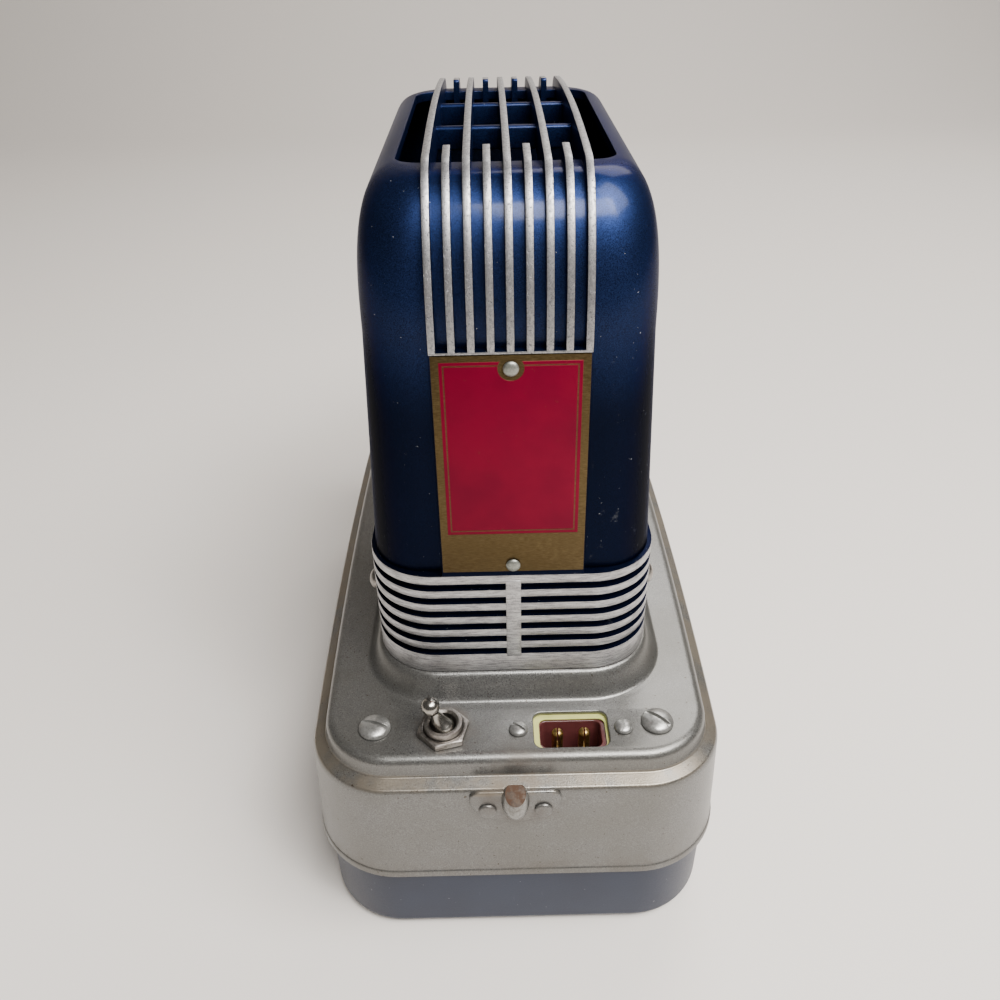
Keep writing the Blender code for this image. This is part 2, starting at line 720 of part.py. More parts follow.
def make_base_pan():
    edge_z = PAN_BOTTOM_Z + PAN_EDGE
    profile = [(pan_outer_inset(PAN_TOP_Z), PAN_TOP_Z), (pan_outer_inset(edge_z), edge_z)]
    start = profile[-1][0]
    for i in range(1, ROUND_STEPS + 1):
        angle = math.pi / 2 * i / ROUND_STEPS
        profile.append((start + PAN_EDGE * (1 - math.cos(angle)), edge_z - PAN_EDGE * math.sin(angle)))
    profile.reverse()
    rings = [ring_at(base_outline(inset), z) for inset, z in profile]
    pan = loft("base_pan", rings, "pan_paint", capped=True)
    open_top(pan)
    solidify(pan, SHEET)
    post_foot = PAN_BOTTOM_Z + SHEET / 2
    post_top = DECK_UNDER_Z - GAP
    for i, (x, y) in enumerate(deck_screw_places()):
        join(pan, rod(f"post_{i}", POST_RADIUS, (x, y, post_foot), post_top - post_foot))
        bore_z = post_top - POST_BORE_DEPTH
        bore = DECK_SCREW_SHANK + SHAFT_CLEARANCE
        cut(pan, rod(f"post_bore_{i}", bore, (x, y, bore_z), POST_BORE_DEPTH + CUT_OVERRUN))
    floor_z = PAN_BOTTOM_Z - CUT_OVERRUN
    through = SHEET + 2 * CUT_OVERRUN
    for i, (x, y) in enumerate(foot_places()):
        cut(pan, rod(f"foot_hole_{i}", FOOT_STEM + GAP, (x, y, floor_z), through))
    leg_hole = LEG_TIP_RADIUS + LEG_HOLE_CLEARANCE
    cut(pan, rod("leg_hole", leg_hole, (0, LEG_Y, floor_z), through, steps=MEDIUM_STEPS))
    for end in (1, -1):
        for i in range(INTAKE_SLOTS):
            y = HOUSING_Y + end * (INTAKE_OFFSET + INTAKE_PITCH * i)
            low = (-INTAKE_LENGTH / 2, y - INTAKE_WIDTH / 2, floor_z)
            high = (INTAKE_LENGTH / 2, y + INTAKE_WIDTH / 2, floor_z + through)
            cut(pan, box(f"intake_{end}_{i}", low, high))
    cut(pan, wheel_slot())


def open_top(item):
    shape = bmesh.new()
    shape.from_mesh(item.data)
    top = max(vertex.co.z for vertex in shape.verts)
    lid = [face for face in shape.faces if all(v.co.z > top - WELD for v in face.verts)]
    bmesh.ops.delete(shape, geom=lid, context="FACES_ONLY")
    shape.to_mesh(item.data)
    shape.free()


def wheel_slot():
    reach = WHEEL_RADIUS + WHEEL_SLOT_CLEARANCE
    wall_y = -BASE_LENGTH / 2 + pan_outer_inset(WHEEL_Z) + SHEET
    half = math.sqrt(reach ** 2 - (LEG_Y - wall_y) ** 2) + WHEEL_SLOT_CLEARANCE
    low = (-half, -BASE_LENGTH / 2 - CUT_OVERRUN, WHEEL_Z - WHEEL_SLOT_CLEARANCE)
    high = (half, wall_y + CUT_OVERRUN, WHEEL_Z + WHEEL_HEIGHT + WHEEL_SLOT_CLEARANCE)
    return box("wheel_slot", low, high)


# Rubber feet pushed through the pan's floor
def foot_places():
    return [(x, y) for y in (FOOT_Y, -FOOT_Y) for x in (FOOT_X, -FOOT_X)]


def make_feet():
    head_foot = PAN_FLOOR_Z + GAP
    profile = [(0, head_foot + FOOT_HEAD_HEIGHT), (FOOT_STEM, head_foot + FOOT_HEAD_HEIGHT),
               (FOOT_HEAD_RADIUS, head_foot), (FOOT_STEM, head_foot), (FOOT_STEM, FOOT_HEIGHT),
               (FOOT_RADIUS, FOOT_HEIGHT), (FOOT_RADIUS, FOOT_CHAMFER),
               (FOOT_RADIUS - FOOT_CHAMFER, 0), (0, 0)]
    for i, (x, y) in enumerate(foot_places()):
        turned(f"foot_{i + 1}", profile, (x, y, 0), coat="rubber", steps=SMALL_STEPS)


# Screws and rivets: a domed head on a plain shank, with or without a slot
def stud(name, radius, head, shank, length, at, axis="Z", coat="nickel"):
    profile = dome(radius, head) + [(shank, 0), (shank, -length), (0, -length)]
    return turned(name, profile, at, axis, coat, steps=SMALL_STEPS)


def slot(item, radius, head, width, turn, at, axis="Z"):
    blade = box(item.name + "_slot", (-radius - CUT_OVERRUN, -width / 2, head / 2),
                (radius + CUT_OVERRUN, width / 2, head + CUT_OVERRUN))
    centre = Matrix.Translation(blade.location)
    spin = Matrix.Rotation(math.radians(turn), 4, "Z")
    blade.matrix_world = Matrix.Translation(at) @ TURNS[axis] @ spin @ centre
    cut(item, blade)


def make_deck_screws():
    for i, (x, y) in enumerate(deck_screw_places()):
        at = (x, y, DECK_Z + GAP)
        screw = stud(f"deck_screw_{i + 1}", DECK_SCREW_RADIUS, DECK_SCREW_HEAD, DECK_SCREW_SHANK,
                     DECK_SCREW_LENGTH, at)
        slot(screw, DECK_SCREW_RADIUS, DECK_SCREW_HEAD, DECK_SCREW_SLOT, DECK_SCREW_TURNS[i], at)


# Case catches: built flat, then leant against the skirt at each end
def catch_frame(end):
    turn = Matrix.Rotation(0 if end < 0 else math.pi, 4, "Z")
    foot_y = -BASE_LENGTH / 2 + skirt_inset(CATCH_TOP_Z) - GAP
    shift = Matrix.Translation((CATCH_X * -end, foot_y, CATCH_TOP_Z))
    return turn @ shift @ Matrix.Rotation(-SKIRT_LEAN, 4, "X")


def catch_rivet_hole(end, side):
    radius = CATCH_RIVET_SHANK + GAP
    hole = rod(f"catch_hole_{end}_{side}", radius, (0, 0, 0), 2 * CATCH_RIVET_LENGTH)
    drop = CATCH_RIVET_Z - CATCH_TOP_Z
    start = Matrix.Translation((side * CATCH_RIVET_SPACING / 2, -CATCH_RIVET_LENGTH, drop))
    hole.matrix_world = catch_frame(end) @ start @ TURNS["Y"]
    return hole


def catch_outline():
    half = CATCH_WIDTH / 2
    ear_radius = CATCH_EAR / 2
    points = []
    for i in range(ARC_STEPS + 1):
        angle = math.pi / 2 - math.pi * i / ARC_STEPS
        points.append((half - ear_radius + ear_radius * math.cos(angle),
                       -ear_radius + ear_radius * math.sin(angle)))
    points.append((CATCH_RIVET_SPACING / 2 - CATCH_RIVET_RADIUS / 2, -CATCH_HEIGHT + CATCH_EAR / 4))
    points.append((CATCH_NOSE_WIDTH / 4, -CATCH_HEIGHT))
    return points + [(-x, y) for x, y in reversed(points)]


def make_catch(name, end):
    frame = catch_frame(end)
    seat = Matrix.Translation((0, -CATCH_THICKNESS / 2, 0)) @ PLANE_XZ
    catch = prism(f"catch_{name}", catch_outline(), CATCH_THICKNESS, (0, 0, 0), frame @ seat, "nickel")
    nose = bmesh.new()
    size = (CATCH_NOSE_WIDTH / 2, CATCH_NOSE_PROUD, CATCH_NOSE_HEIGHT / 2, 1)
    bmesh.ops.create_uvsphere(nose, u_segments=SMALL_STEPS, v_segments=2 * ARC_STEPS, radius=1,
                              matrix=Matrix.Diagonal(size))
    drop = CATCH_NOSE_Z - CATCH_TOP_Z
    lift = Matrix.Translation((0, -CATCH_THICKNESS, drop))
    bump = from_bmesh(f"catch_nose_{name}", nose, turn=frame @ lift)
    back = box(f"catch_back_{name}", (-CATCH_WIDTH, -CATCH_THICKNESS / 2, -CATCH_HEIGHT * 2),
               (CATCH_WIDTH, CATCH_WIDTH, CATCH_HEIGHT))
    back.matrix_world = frame @ Matrix.Translation(back.location)
    cut(bump, back)
    join(catch, bump)
    for side, word in ((1, "right"), (-1, "left")):
        cut(catch, catch_rivet_hole(end, side))
        spot = (side * CATCH_RIVET_SPACING / 2, -CATCH_THICKNESS - GAP, CATCH_RIVET_Z - CATCH_TOP_Z)
        rivet = stud(f"catch_rivet_{name}_{word}", CATCH_RIVET_RADIUS, CATCH_RIVET_HEAD, CATCH_RIVET_SHANK,
                     CATCH_RIVET_LENGTH, (0, 0, 0), coat="nickel")
        rivet.matrix_world = frame @ Matrix.Translation(spot) @ TURNS["-Y"]


# Lamphouse casting
def ring_profile():
    profile = [(0, HOUSING_BOTTOM_Z)]
    for i in reversed(range(GROOVES)):
        low = TOP_GROOVE_Z - GROOVE_PITCH * i - GROOVE_HEIGHT / 2
        high = low + GROOVE_HEIGHT
        profile += [(0, low), (GROOVE_DEPTH, low), (GROOVE_DEPTH, high), (0, high)]
    profile.append((0, RING_TOP_Z))
    return profile


def inset_share(rise_share, squareness):
    left = max(1 - rise_share ** squareness, 0)
    return 1 - left ** (1 / squareness)


def shell_ring(rise_share, top_z, wall):
    z = SHOULDER_Z + (top_z - SHOULDER_Z) * rise_share
    across = inset_share(rise_share, SHOULDER_SQUARENESS_X)
    along = inset_share(rise_share, SHOULDER_SQUARENESS_Y)
    half_x = SHELL_WIDTH / 2 - SHELL_DRAFT_X - SHOULDER_INSET_X * across - wall
    half_y = SHELL_LENGTH / 2 - SHELL_DRAFT_Y - SHOULDER_INSET_Y * along - wall
    radius = SHELL_CORNER - SHOULDER_CORNER_LOSS * along - wall
    return ring_at(rounded_outline(half_x, half_y, radius), z, HOUSING_Y)


def shell_rings(top_z, steps, wall=0.0):
    foot = rounded_outline(SHELL_WIDTH / 2 - wall, SHELL_LENGTH / 2 - wall, SHELL_CORNER - wall)
    rings = [ring_at(foot, RING_TOP_Z, HOUSING_Y)]
    for i in range(steps + 1):
        rings.append(shell_ring(math.sin(math.pi / 2 * i / steps), top_z, wall))
    return rings


def housing_body():
    rings = []
    for inset, z in ring_profile():
        outline = rounded_outline(RING_WIDTH / 2 - inset, RING_LENGTH / 2 - inset, RING_CORNER - inset)
        rings.append(ring_at(outline, z, HOUSING_Y))
    return loft("lamp_housing", rings + shell_rings(SHELL_TOP_Z, SHOULDER_STEPS), "housing_enamel")


def cavity():
    foot = rounded_outline(CAVITY_X, CAVITY_Y, SHELL_CORNER - SHELL_WALL)
    rings = [ring_at(foot, HOUSING_BOTTOM_Z - CUT_OVERRUN, HOUSING_Y)]
    return loft("cavity", rings + shell_rings(SHELL_TOP_Z - CROWN_WALL, CAVITY_STEPS, SHELL_WALL))


def fin_crest(share):
    angle = math.pi / 2 * share
    flank = SHELL_LENGTH / 2 - SHELL_DRAFT_Y + FIN_PROUD
    y = flank - (SHOULDER_INSET_Y + FIN_PROUD) * (1 - math.cos(angle))
    return (y, SHOULDER_Z + (SHELL_TOP_Z + FIN_PROUD - SHOULDER_Z) * math.sin(angle))


def fin_root(share):
    angle = math.pi / 2 * share
    flank = SHELL_LENGTH / 2 - SHELL_DRAFT_Y - FIN_ROOT
    rise = SHELL_TOP_Z - FIN_UNDERCUT - SHOULDER_Z
    return (flank - SHOULDER_INSET_Y * (1 - math.cos(angle)), SHOULDER_Z + rise * math.sin(angle))


def arch_z(y):
    reach = SHELL_LENGTH / 2 - SHELL_DRAFT_Y - SHOULDER_INSET_Y
    return SHELL_TOP_Z + FIN_PROUD + FIN_ARCH * (1 - (y / reach) ** 2)


def fin_outline(tip_y):
    shares = [i / SHOULDER_STEPS for i in range(SHOULDER_STEPS + 1)]
    foot_z = PAD_TOP_Z - PAD_LEDGE / 2
    crest = [(fin_crest(0)[0], foot_z)] + [fin_crest(share) for share in shares[1:]]
    root = [(fin_root(0)[0], foot_z)] + [fin_root(share) for share in shares[1:]]
    if tip_y:
        return crest + [(tip_y, arch_z(tip_y)), (tip_y, root[-1][1])] + root[::-1]
    reach = crest[-1][0]
    arch = [(reach * (1 - i / FIN_ARCH_STEPS), arch_z(reach * (1 - i / FIN_ARCH_STEPS)))
            for i in range(1, 2 * FIN_ARCH_STEPS)]
    far_crest = [(-y, z) for y, z in crest[::-1]]
    far_root = [(-y, z) for y, z in root]
    return crest + arch + far_crest + far_root + root[::-1]


def fins():
    made = []
    tip_y = OPENING_LENGTH / 2 - SHORT_FIN_OVERHANG
    for i in range(FINS):
        at = (FIN_PITCH * (i - (FINS - 1) / 2), HOUSING_Y, 0)
        if i % 2 == 0:
            made.append(prism(f"long_fin_{i}", fin_outline(0), FIN_WIDTH, at, PLANE_YZ))
        else:
            outline = fin_outline(tip_y)
            mirrored = [(-y, z) for y, z in outline]
            made.append(prism(f"short_fin_rear_{i}", outline, FIN_WIDTH, at, PLANE_YZ))
            made.append(prism(f"short_fin_front_{i}", mirrored, FIN_WIDTH, at, PLANE_YZ))
    return made


def cross_bars():
    reach = FIN_PITCH * (FINS - 1) / 2
    low_z = SHELL_TOP_Z - FIN_UNDERCUT
    bars = []
    for i, offset in enumerate((CROSS_BAR_OFFSET, -CROSS_BAR_OFFSET)):
        y = HOUSING_Y + offset
        low = (-reach, y - CROSS_BAR_THICKNESS / 2, low_z)
        bars.append(box(f"cross_bar_{i}", low, (reach, y + CROSS_BAR_THICKNESS / 2, CROSS_BAR_Z)))
    return bars


def pad_foot_y():
    return RING_LENGTH / 2 - RING_BAR_PROUD


def pad_head_y():
    return SHELL_LENGTH / 2 - SHELL_DRAFT_Y + FIN_PROUD - NAMEPLATE_THICKNESS - GAP


def pads():
    crest = SHELL_LENGTH / 2 - SHELL_DRAFT_Y + FIN_PROUD
    root = SHELL_LENGTH / 2 - PAD_ROOT
    ledge_z = PAD_TOP_Z - PAD_LEDGE
    outline = [(root, RING_TOP_Z - GROOVE_HEIGHT / 2), (pad_foot_y(), RING_TOP_Z - GROOVE_HEIGHT / 2),
               (pad_foot_y(), RING_TOP_Z), (pad_head_y(), ledge_z), (crest, ledge_z), (crest, PAD_TOP_Z),
               (root, PAD_TOP_Z)]
    mirrored = [(-y, z) for y, z in outline]
    at = (0, HOUSING_Y, 0)
    return [prism("plate_pad", outline, PAD_WIDTH, at, PLANE_YZ),
            prism("front_pad", mirrored, PAD_WIDTH, at, PLANE_YZ)]


def ring_bars():
    low_z = TOP_GROOVE_Z - GROOVE_PITCH * (GROOVES - 1) - GROOVE_HEIGHT
    inner = RING_LENGTH / 2 - 2 * GROOVE_DEPTH
    outer = RING_LENGTH / 2 + RING_BAR_PROUD
    bars = []
    for end in (1, -1):
        ys = sorted((HOUSING_Y + end * inner, HOUSING_Y + end * outer))
        low = (-RING_BAR_WIDTH / 2, ys[0], low_z)
        bars.append(box(f"ring_bar_{end}", low, (RING_BAR_WIDTH / 2, ys[1], TOP_GROOVE_Z + GROOVE_HEIGHT)))
    return bars


def side_screw_places():
    return [(side, HOUSING_Y + end * SIDE_SCREW_OFFSET) for end in (1, -1) for side in (1, -1)]


def carrier_slots():
    half_z = CARRIER_HEIGHT / 2 + GUIDE_CLEARANCE * 2
    half_y = CARRIER_THICKNESS / 2 + GUIDE_CLEARANCE * 2
    reach = RING_WIDTH / 2 + CUT_OVERRUN
    return box("carrier_slots", (-reach, GATE_Y - half_y, AXIS_Z - half_z),
               (reach, GATE_Y + half_y, AXIS_Z + half_z))


def make_lamp_housing():
    housing = housing_body()
    opening = rounded_outline(OPENING_WIDTH / 2, OPENING_LENGTH / 2, OPENING_CORNER)
    levels = (SHELL_TOP_Z - CROWN_WALL - CUT_OVERRUN, SHELL_TOP_Z + CUT_OVERRUN)
    cut(housing, loft("top_opening", [ring_at(opening, z, HOUSING_Y) for z in levels]))
    boss_length = LENS_BOSS_PROUD + SHELL_WALL
    boss = rod("lens_boss", LENS_BOSS_RADIUS, (0, BOSS_Y, AXIS_Z), boss_length, "Y", steps=LARGE_STEPS)
    join(housing, *pads(), *fins(), *cross_bars(), *ring_bars(), boss)
    cut(housing, cavity(), carrier_slots())
    bore_length = boss_length + 2 * CUT_OVERRUN
    cut(housing, rod("lens_bore", TUBE_SPIGOT_RADIUS + GAP, (0, BOSS_Y - CUT_OVERRUN, AXIS_Z), bore_length,
                     "Y", steps=LARGE_STEPS))
    for i, (side, y) in enumerate(side_screw_places()):
        start = (side * CAVITY_X - side * CUT_OVERRUN, y, SIDE_SCREW_Z)
        length = RING_WIDTH / 2 - CAVITY_X + 2 * CUT_OVERRUN
        axis = "X" if side > 0 else "-X"
        cut(housing, rod(f"side_screw_hole_{i}", SIDE_SCREW_SHANK + GAP, start, length, axis))
    for i, at in enumerate(plate_rivet_places()):
        hole = rod(f"plate_rivet_hole_{i}", PLATE_RIVET_SHANK + GAP, (0, 0, -PLATE_RIVET_LENGTH - GAP),
                   PLATE_RIVET_LENGTH + CUT_OVERRUN)
        hole.matrix_world = Matrix.Translation(at) @ plate_turn() @ Matrix.Translation(hole.location)
        cut(housing, hole)


# Nameplate and its rivets, leaning with the pad
def plate_lean():
    rise = PAD_TOP_Z - PAD_LEDGE - RING_TOP_Z
    return math.atan2(pad_foot_y() - pad_head_y(), rise)


def plate_turn():
    return Matrix.Rotation(-math.pi / 2 + plate_lean(), 4, "X")


def plate_point(height, proud):
    lean = plate_lean()
    along = NAMEPLATE_FOOT_Z - RING_TOP_Z + height
    y = HOUSING_Y + pad_foot_y() - along * math.sin(lean) + proud * math.cos(lean)
    return (0, y, RING_TOP_Z + along * math.cos(lean) + proud * math.sin(lean))


def plate_rivet_places():
    proud = GAP + NAMEPLATE_THICKNESS + GAP
    return [plate_point(NAMEPLATE_HEIGHT - PLATE_RIVET_TOP_INSET, proud),
            plate_point(PLATE_RIVET_FOOT_INSET, proud)]


def make_nameplate():
    middle = plate_point(NAMEPLATE_HEIGHT / 2, GAP + NAMEPLATE_THICKNESS / 2)
    half_x = NAMEPLATE_WIDTH / 2
    half_z = NAMEPLATE_HEIGHT / 2
    outline = [(-half_x, -half_z), (half_x, -half_z), (half_x, half_z), (-half_x, half_z)]
    plate = prism("nameplate", outline, NAMEPLATE_THICKNESS, middle, plate_turn(), "plate_red")
    for i, at in enumerate(plate_rivet_places()):
        hole = rod(f"plate_hole_{i}", PLATE_RIVET_SHANK + GAP, (0, 0, -PLATE_RIVET_LENGTH),
                   PLATE_RIVET_LENGTH + CUT_OVERRUN)
        hole.matrix_world = Matrix.Translation(at) @ plate_turn() @ Matrix.Translation(hole.location)
        cut(plate, hole)
        rivet = stud(f"plate_rivet_{i + 1}", PLATE_RIVET_RADIUS, PLATE_RIVET_HEAD, PLATE_RIVET_SHANK,
                     PLATE_RIVET_LENGTH, (0, 0, 0))
        rivet.matrix_world = Matrix.Translation(at) @ plate_turn()


def make_side_screws():
    reach = RING_WIDTH / 2 - CAVITY_X + GAP + FRAME_SHEET
    for i, (side, y) in enumerate(side_screw_places()):
        at = (side * (RING_WIDTH / 2 + GAP), y, SIDE_SCREW_Z)
        axis = "X" if side > 0 else "-X"
        screw = stud(f"side_screw_{i + 1}", SIDE_SCREW_RADIUS, SIDE_SCREW_HEAD, SIDE_SCREW_SHANK, reach,
                     at, axis)
        slot(screw, SIDE_SCREW_RADIUS, SIDE_SCREW_HEAD, SIDE_SCREW_SLOT, 0, at, axis)


# Toggle switch
def make_toggle():
    top = DECK_UNDER_Z - GAP
    low = (TOGGLE_X - TOGGLE_BODY_LENGTH / 2, FITTINGS_Y - TOGGLE_BODY_WIDTH / 2, top - TOGGLE_BODY_DEPTH)
    high = (TOGGLE_X + TOGGLE_BODY_LENGTH / 2, FITTINGS_Y + TOGGLE_BODY_WIDTH / 2, top)
    body = box("toggle_switch_body", low, high, "phenolic")
    rim_z = DECK_Z + BUSHING_HEIGHT
    root_z = top - CUT_OVERRUN
    join(body, rod("toggle_bushing", BUSHING_RADIUS, (TOGGLE_X, FITTINGS_Y, root_z), rim_z - root_z,
                   steps=MEDIUM_STEPS))
    bore = [(0, CUT_OVERRUN), (BUSHING_BORE + BUSHING_MOUTH, CUT_OVERRUN), (BUSHING_BORE + BUSHING_MOUTH, 0),
            (BUSHING_BORE, -BUSHING_MOUTH), (BUSHING_BORE, -BUSHING_BORE_DEPTH), (0, -BUSHING_BORE_DEPTH)]
    cut(body, turned("toggle_bore", bore, (TOGGLE_X, FITTINGS_Y, rim_z)))
    corner = NUT_FLATS / 2 / math.cos(math.pi / NUT_SIDES)
    nut = rod("toggle_nut", corner, (TOGGLE_X, FITTINGS_Y, DECK_Z + GAP), NUT_HEIGHT, coat="nickel",
              steps=NUT_SIDES)
    nut.matrix_world = nut.matrix_world @ Matrix.Rotation(math.pi / 2, 4, "Z")
    cut(nut, rod("nut_bore", BUSHING_RADIUS + GAP, (TOGGLE_X, FITTINGS_Y, DECK_Z - CUT_OVERRUN),
                 NUT_HEIGHT + 2 * CUT_OVERRUN, steps=MEDIUM_STEPS))
    make_toggle_lever(rim_z - TOGGLE_PIVOT_DEPTH)


def make_toggle_lever(pivot_z):
    ball = []
    for i in range(ARC_STEPS + 1):
        angle = math.pi / 2 - LEVER_BALL_SWEEP * i / ARC_STEPS
        ball.append((LEVER_BALL * math.cos(angle), LEVER_LENGTH + LEVER_BALL * math.sin(angle)))
    pivot = []
    steps = ARC_STEPS + 1
    for i in range(1, steps):
        angle = math.pi / 2 - math.pi * i / steps
        pivot.append((LEVER_PIVOT_RADIUS * math.cos(angle), LEVER_PIVOT_HEIGHT * math.sin(angle)))
    neck = [(LEVER_NECK, LEVER_PIVOT_HEIGHT)]
    tail = [(LEVER_NECK, -LEVER_PIVOT_HEIGHT), (LEVER_NECK, -LEVER_TAIL), (0, -LEVER_TAIL)]
    profile = ball + [(LEVER_WAIST, LEVER_LENGTH / 2)] + neck + pivot + tail
    lever = turned("toggle_lever", profile, (0, 0, 0), coat="nickel", steps=SMALL_STEPS)
    lean = Matrix.Rotation(math.radians(TOGGLE_TILT), 4, "Y")
    lever.matrix_world = Matrix.Translation((TOGGLE_X, FITTINGS_Y, pivot_z)) @ lean


# Power inlet under its window in the deck
def inlet_block(name, length, width, corner, top, depth, coat=None):
    outline = rounded_outline(length / 2, width / 2, corner)
    rings = [ring_at(outline, z) for z in (top - depth, top)]
    return loft(name, rings, coat, at=(INLET_X, FITTINGS_Y, 0))


def make_inlet():
    insulator_top = DECK_UNDER_Z - GAP
    insulator = inlet_block("inlet_insulator", INSULATOR_LENGTH, INSULATOR_WIDTH, INLET_WINDOW_CORNER,
                            insulator_top, INSULATOR_THICKNESS, "insulator")
    cut(insulator, inlet_block("insulator_window", INLET_WINDOW_LENGTH - 2 * INSULATOR_EDGE,
                               INLET_WINDOW_WIDTH - 2 * INSULATOR_EDGE, INLET_WELL_CORNER,
                               insulator_top + CUT_OVERRUN, INSULATOR_THICKNESS + 2 * CUT_OVERRUN))
    body_top = insulator_top - INSULATOR_THICKNESS - GAP
    body = inlet_block("inlet_body", INLET_BODY_LENGTH, INLET_BODY_WIDTH, INLET_WINDOW_CORNER, body_top,
                       INLET_BODY_DEPTH, "phenolic")
    cut(body, inlet_block("inlet_well", INLET_WELL_LENGTH, INLET_WELL_WIDTH, INLET_WELL_CORNER,
                          body_top + CUT_OVERRUN, INLET_WELL_DEPTH + CUT_OVERRUN))
    pin_foot = body_top - INLET_BODY_DEPTH - INLET_PIN_TAIL
    pin_length = body_top - INLET_PIN_RECESS - pin_foot
    for i, side in enumerate((1, -1)):
        at = (INLET_X + side * INLET_PIN_SPACING / 2, FITTINGS_Y, pin_foot)
        cut(body, rod(f"pin_hole_{i}", INLET_PIN_RADIUS + SHAFT_CLEARANCE, at, pin_length))
        tip = [(0, pin_length), (INLET_PIN_RADIUS / 2, pin_length),
               (INLET_PIN_RADIUS, pin_length - INLET_PIN_RADIUS), (INLET_PIN_RADIUS, 0), (0, 0)]
        turned(f"inlet_pin_{i + 1}", tip, at, coat="brass", steps=SMALL_STEPS)
    for i, x in enumerate(inlet_screw_places()):
        at = (x, FITTINGS_Y, DECK_Z + GAP)
        foot = (x, FITTINGS_Y, at[2] - INLET_SCREW_LENGTH - CUT_OVERRUN)
        bore = INLET_SCREW_SHANK + SHAFT_CLEARANCE
        for owner in (insulator, body):
            cut(owner, rod(f"{owner.name}_screw_hole_{i}", bore, foot, INLET_SCREW_LENGTH + 2 * CUT_OVERRUN))
        screw = stud(f"inlet_screw_{i + 1}", INLET_SCREW_RADIUS, INLET_SCREW_HEAD, INLET_SCREW_SHANK,
                     INLET_SCREW_LENGTH, at)
        slot(screw, INLET_SCREW_RADIUS, INLET_SCREW_HEAD, INLET_SCREW_SLOT, INLET_SCREW_TURNS[i], at)


# Optics frame: floor plate, side tabs and uprights that hold the glass
def upright(name, y, half_width, top_z, thickness):
    radius = half_width
    outline = [(-half_width, FRAME_Z + FRAME_SHEET / 2), (half_width, FRAME_Z + FRAME_SHEET / 2)]
    for i in range(2 * CORNER_STEPS + 1):
        angle = math.pi * i / (2 * CORNER_STEPS)
        outline.append((radius * math.cos(angle), top_z - radius + radius * math.sin(angle)))
    return prism(name, outline, thickness, (0, y, 0), PLANE_XZ)


def holder_places():
    return (("rear_holder", REAR_CONDENSER_Y), ("middle_holder", HEAT_GLASS_Y),
            ("front_holder", FRONT_CONDENSER_Y))


def reflector_post_y():
    return LAMP_Y + REFLECTOR_CURVE + REFLECTOR_WALL + REFLECTOR_STUD_LENGTH + GAP + FRAME_SHEET / 2


def make_optics_frame():
    half_x = CAVITY_X - GAP
    half_y = CAVITY_Y - GAP
    outline = rounded_outline(half_x, half_y, SHELL_CORNER - SHELL_WALL - GAP)
    rings = [ring_at(outline, z, HOUSING_Y) for z in (FRAME_Z, FRAME_TOP_Z)]
    frame = loft("optics_frame", rings, "steel")
    for i, (side, y) in enumerate(side_screw_places()):
        xs = sorted((side * half_x, side * (half_x - FRAME_SHEET)))
        low = (xs[0], y - TAB_WIDTH / 2, FRAME_Z + FRAME_SHEET / 2)
        join(frame, box(f"tab_{i}", low, (xs[1], y + TAB_WIDTH / 2, TAB_TOP_Z)))
    for name, y in holder_places():
        thickness = HEAT_GLASS_THICKNESS if name == "middle_holder" else HOLDER_THICKNESS
        join(frame, upright(name, y, HOLDER_RADIUS, AXIS_Z + HOLDER_RADIUS, thickness))
        start = (0, y - HOLDER_THICKNESS, AXIS_Z)
        cut(frame, rod(name + "_bore", CONDENSER_RADIUS + GAP, start, 2 * HOLDER_THICKNESS, "Y",
                       steps=MEDIUM_STEPS))
    post_y = reflector_post_y()
    join(frame, upright("reflector_post", post_y, REFLECTOR_POST_WIDTH / 2, AXIS_Z + REFLECTOR_POST_TOP,
                        FRAME_SHEET))
    cut(frame, rod("reflector_hole", REFLECTOR_STUD + GAP, (0, post_y - CUT_OVERRUN, AXIS_Z),
                   2 * CUT_OVERRUN, "Y"))
    for i, (side, y) in enumerate(side_screw_places()):
        start = (side * (half_x - CUT_OVERRUN - FRAME_SHEET), y, SIDE_SCREW_Z)
        cut(frame, rod(f"tab_hole_{i}", SIDE_SCREW_SHANK + SHAFT_CLEARANCE, start,
                       FRAME_SHEET + 2 * CUT_OVERRUN, "X" if side > 0 else "-X"))
    cut(frame, *frame_vents())


def frame_vents():
    low_z = FRAME_Z - CUT_OVERRUN
    high_z = FRAME_TOP_Z + CUT_OVERRUN
    vents = []
    for side in (1, -1):
        xs = sorted((side * (VENT_X - VENT_WIDTH / 2), side * (VENT_X + VENT_WIDTH / 2)))
        low = (xs[0], LAMP_Y - VENT_LENGTH / 2, low_z)
        vents.append(box(f"lamp_vent_{side}", low, (xs[1], LAMP_Y + VENT_LENGTH / 2, high_z)))
    for i, y in enumerate(((REAR_CONDENSER_Y + HEAT_GLASS_Y) / 2, (FRONT_CONDENSER_Y + HEAT_GLASS_Y) / 2)):
        low = (-FRONT_VENT_WIDTH / 2, y - FRONT_VENT_LENGTH / 2, low_z)
        vents.append(box(f"glass_vent_{i}", low, (FRONT_VENT_WIDTH / 2, y + FRONT_VENT_LENGTH / 2, high_z)))
    return vents


# Glass: a condenser bulges on one side, the heat glass is flat
def lens_profile(radius, edge, front_sag, rear_sag):
    front = [(radius * i / ARC_STEPS, edge / 2 + front_sag * (1 - (i / ARC_STEPS) ** 2))
             for i in range(ARC_STEPS + 1)]
    rear = [(radius * i / ARC_STEPS, -edge / 2 - rear_sag * (1 - (i / ARC_STEPS) ** 2))
            for i in reversed(range(ARC_STEPS + 1))]
    if not front_sag:
        front = [front[0], front[-1]]
    if not rear_sag:
        rear = [rear[0], rear[-1]]
    return front + rear


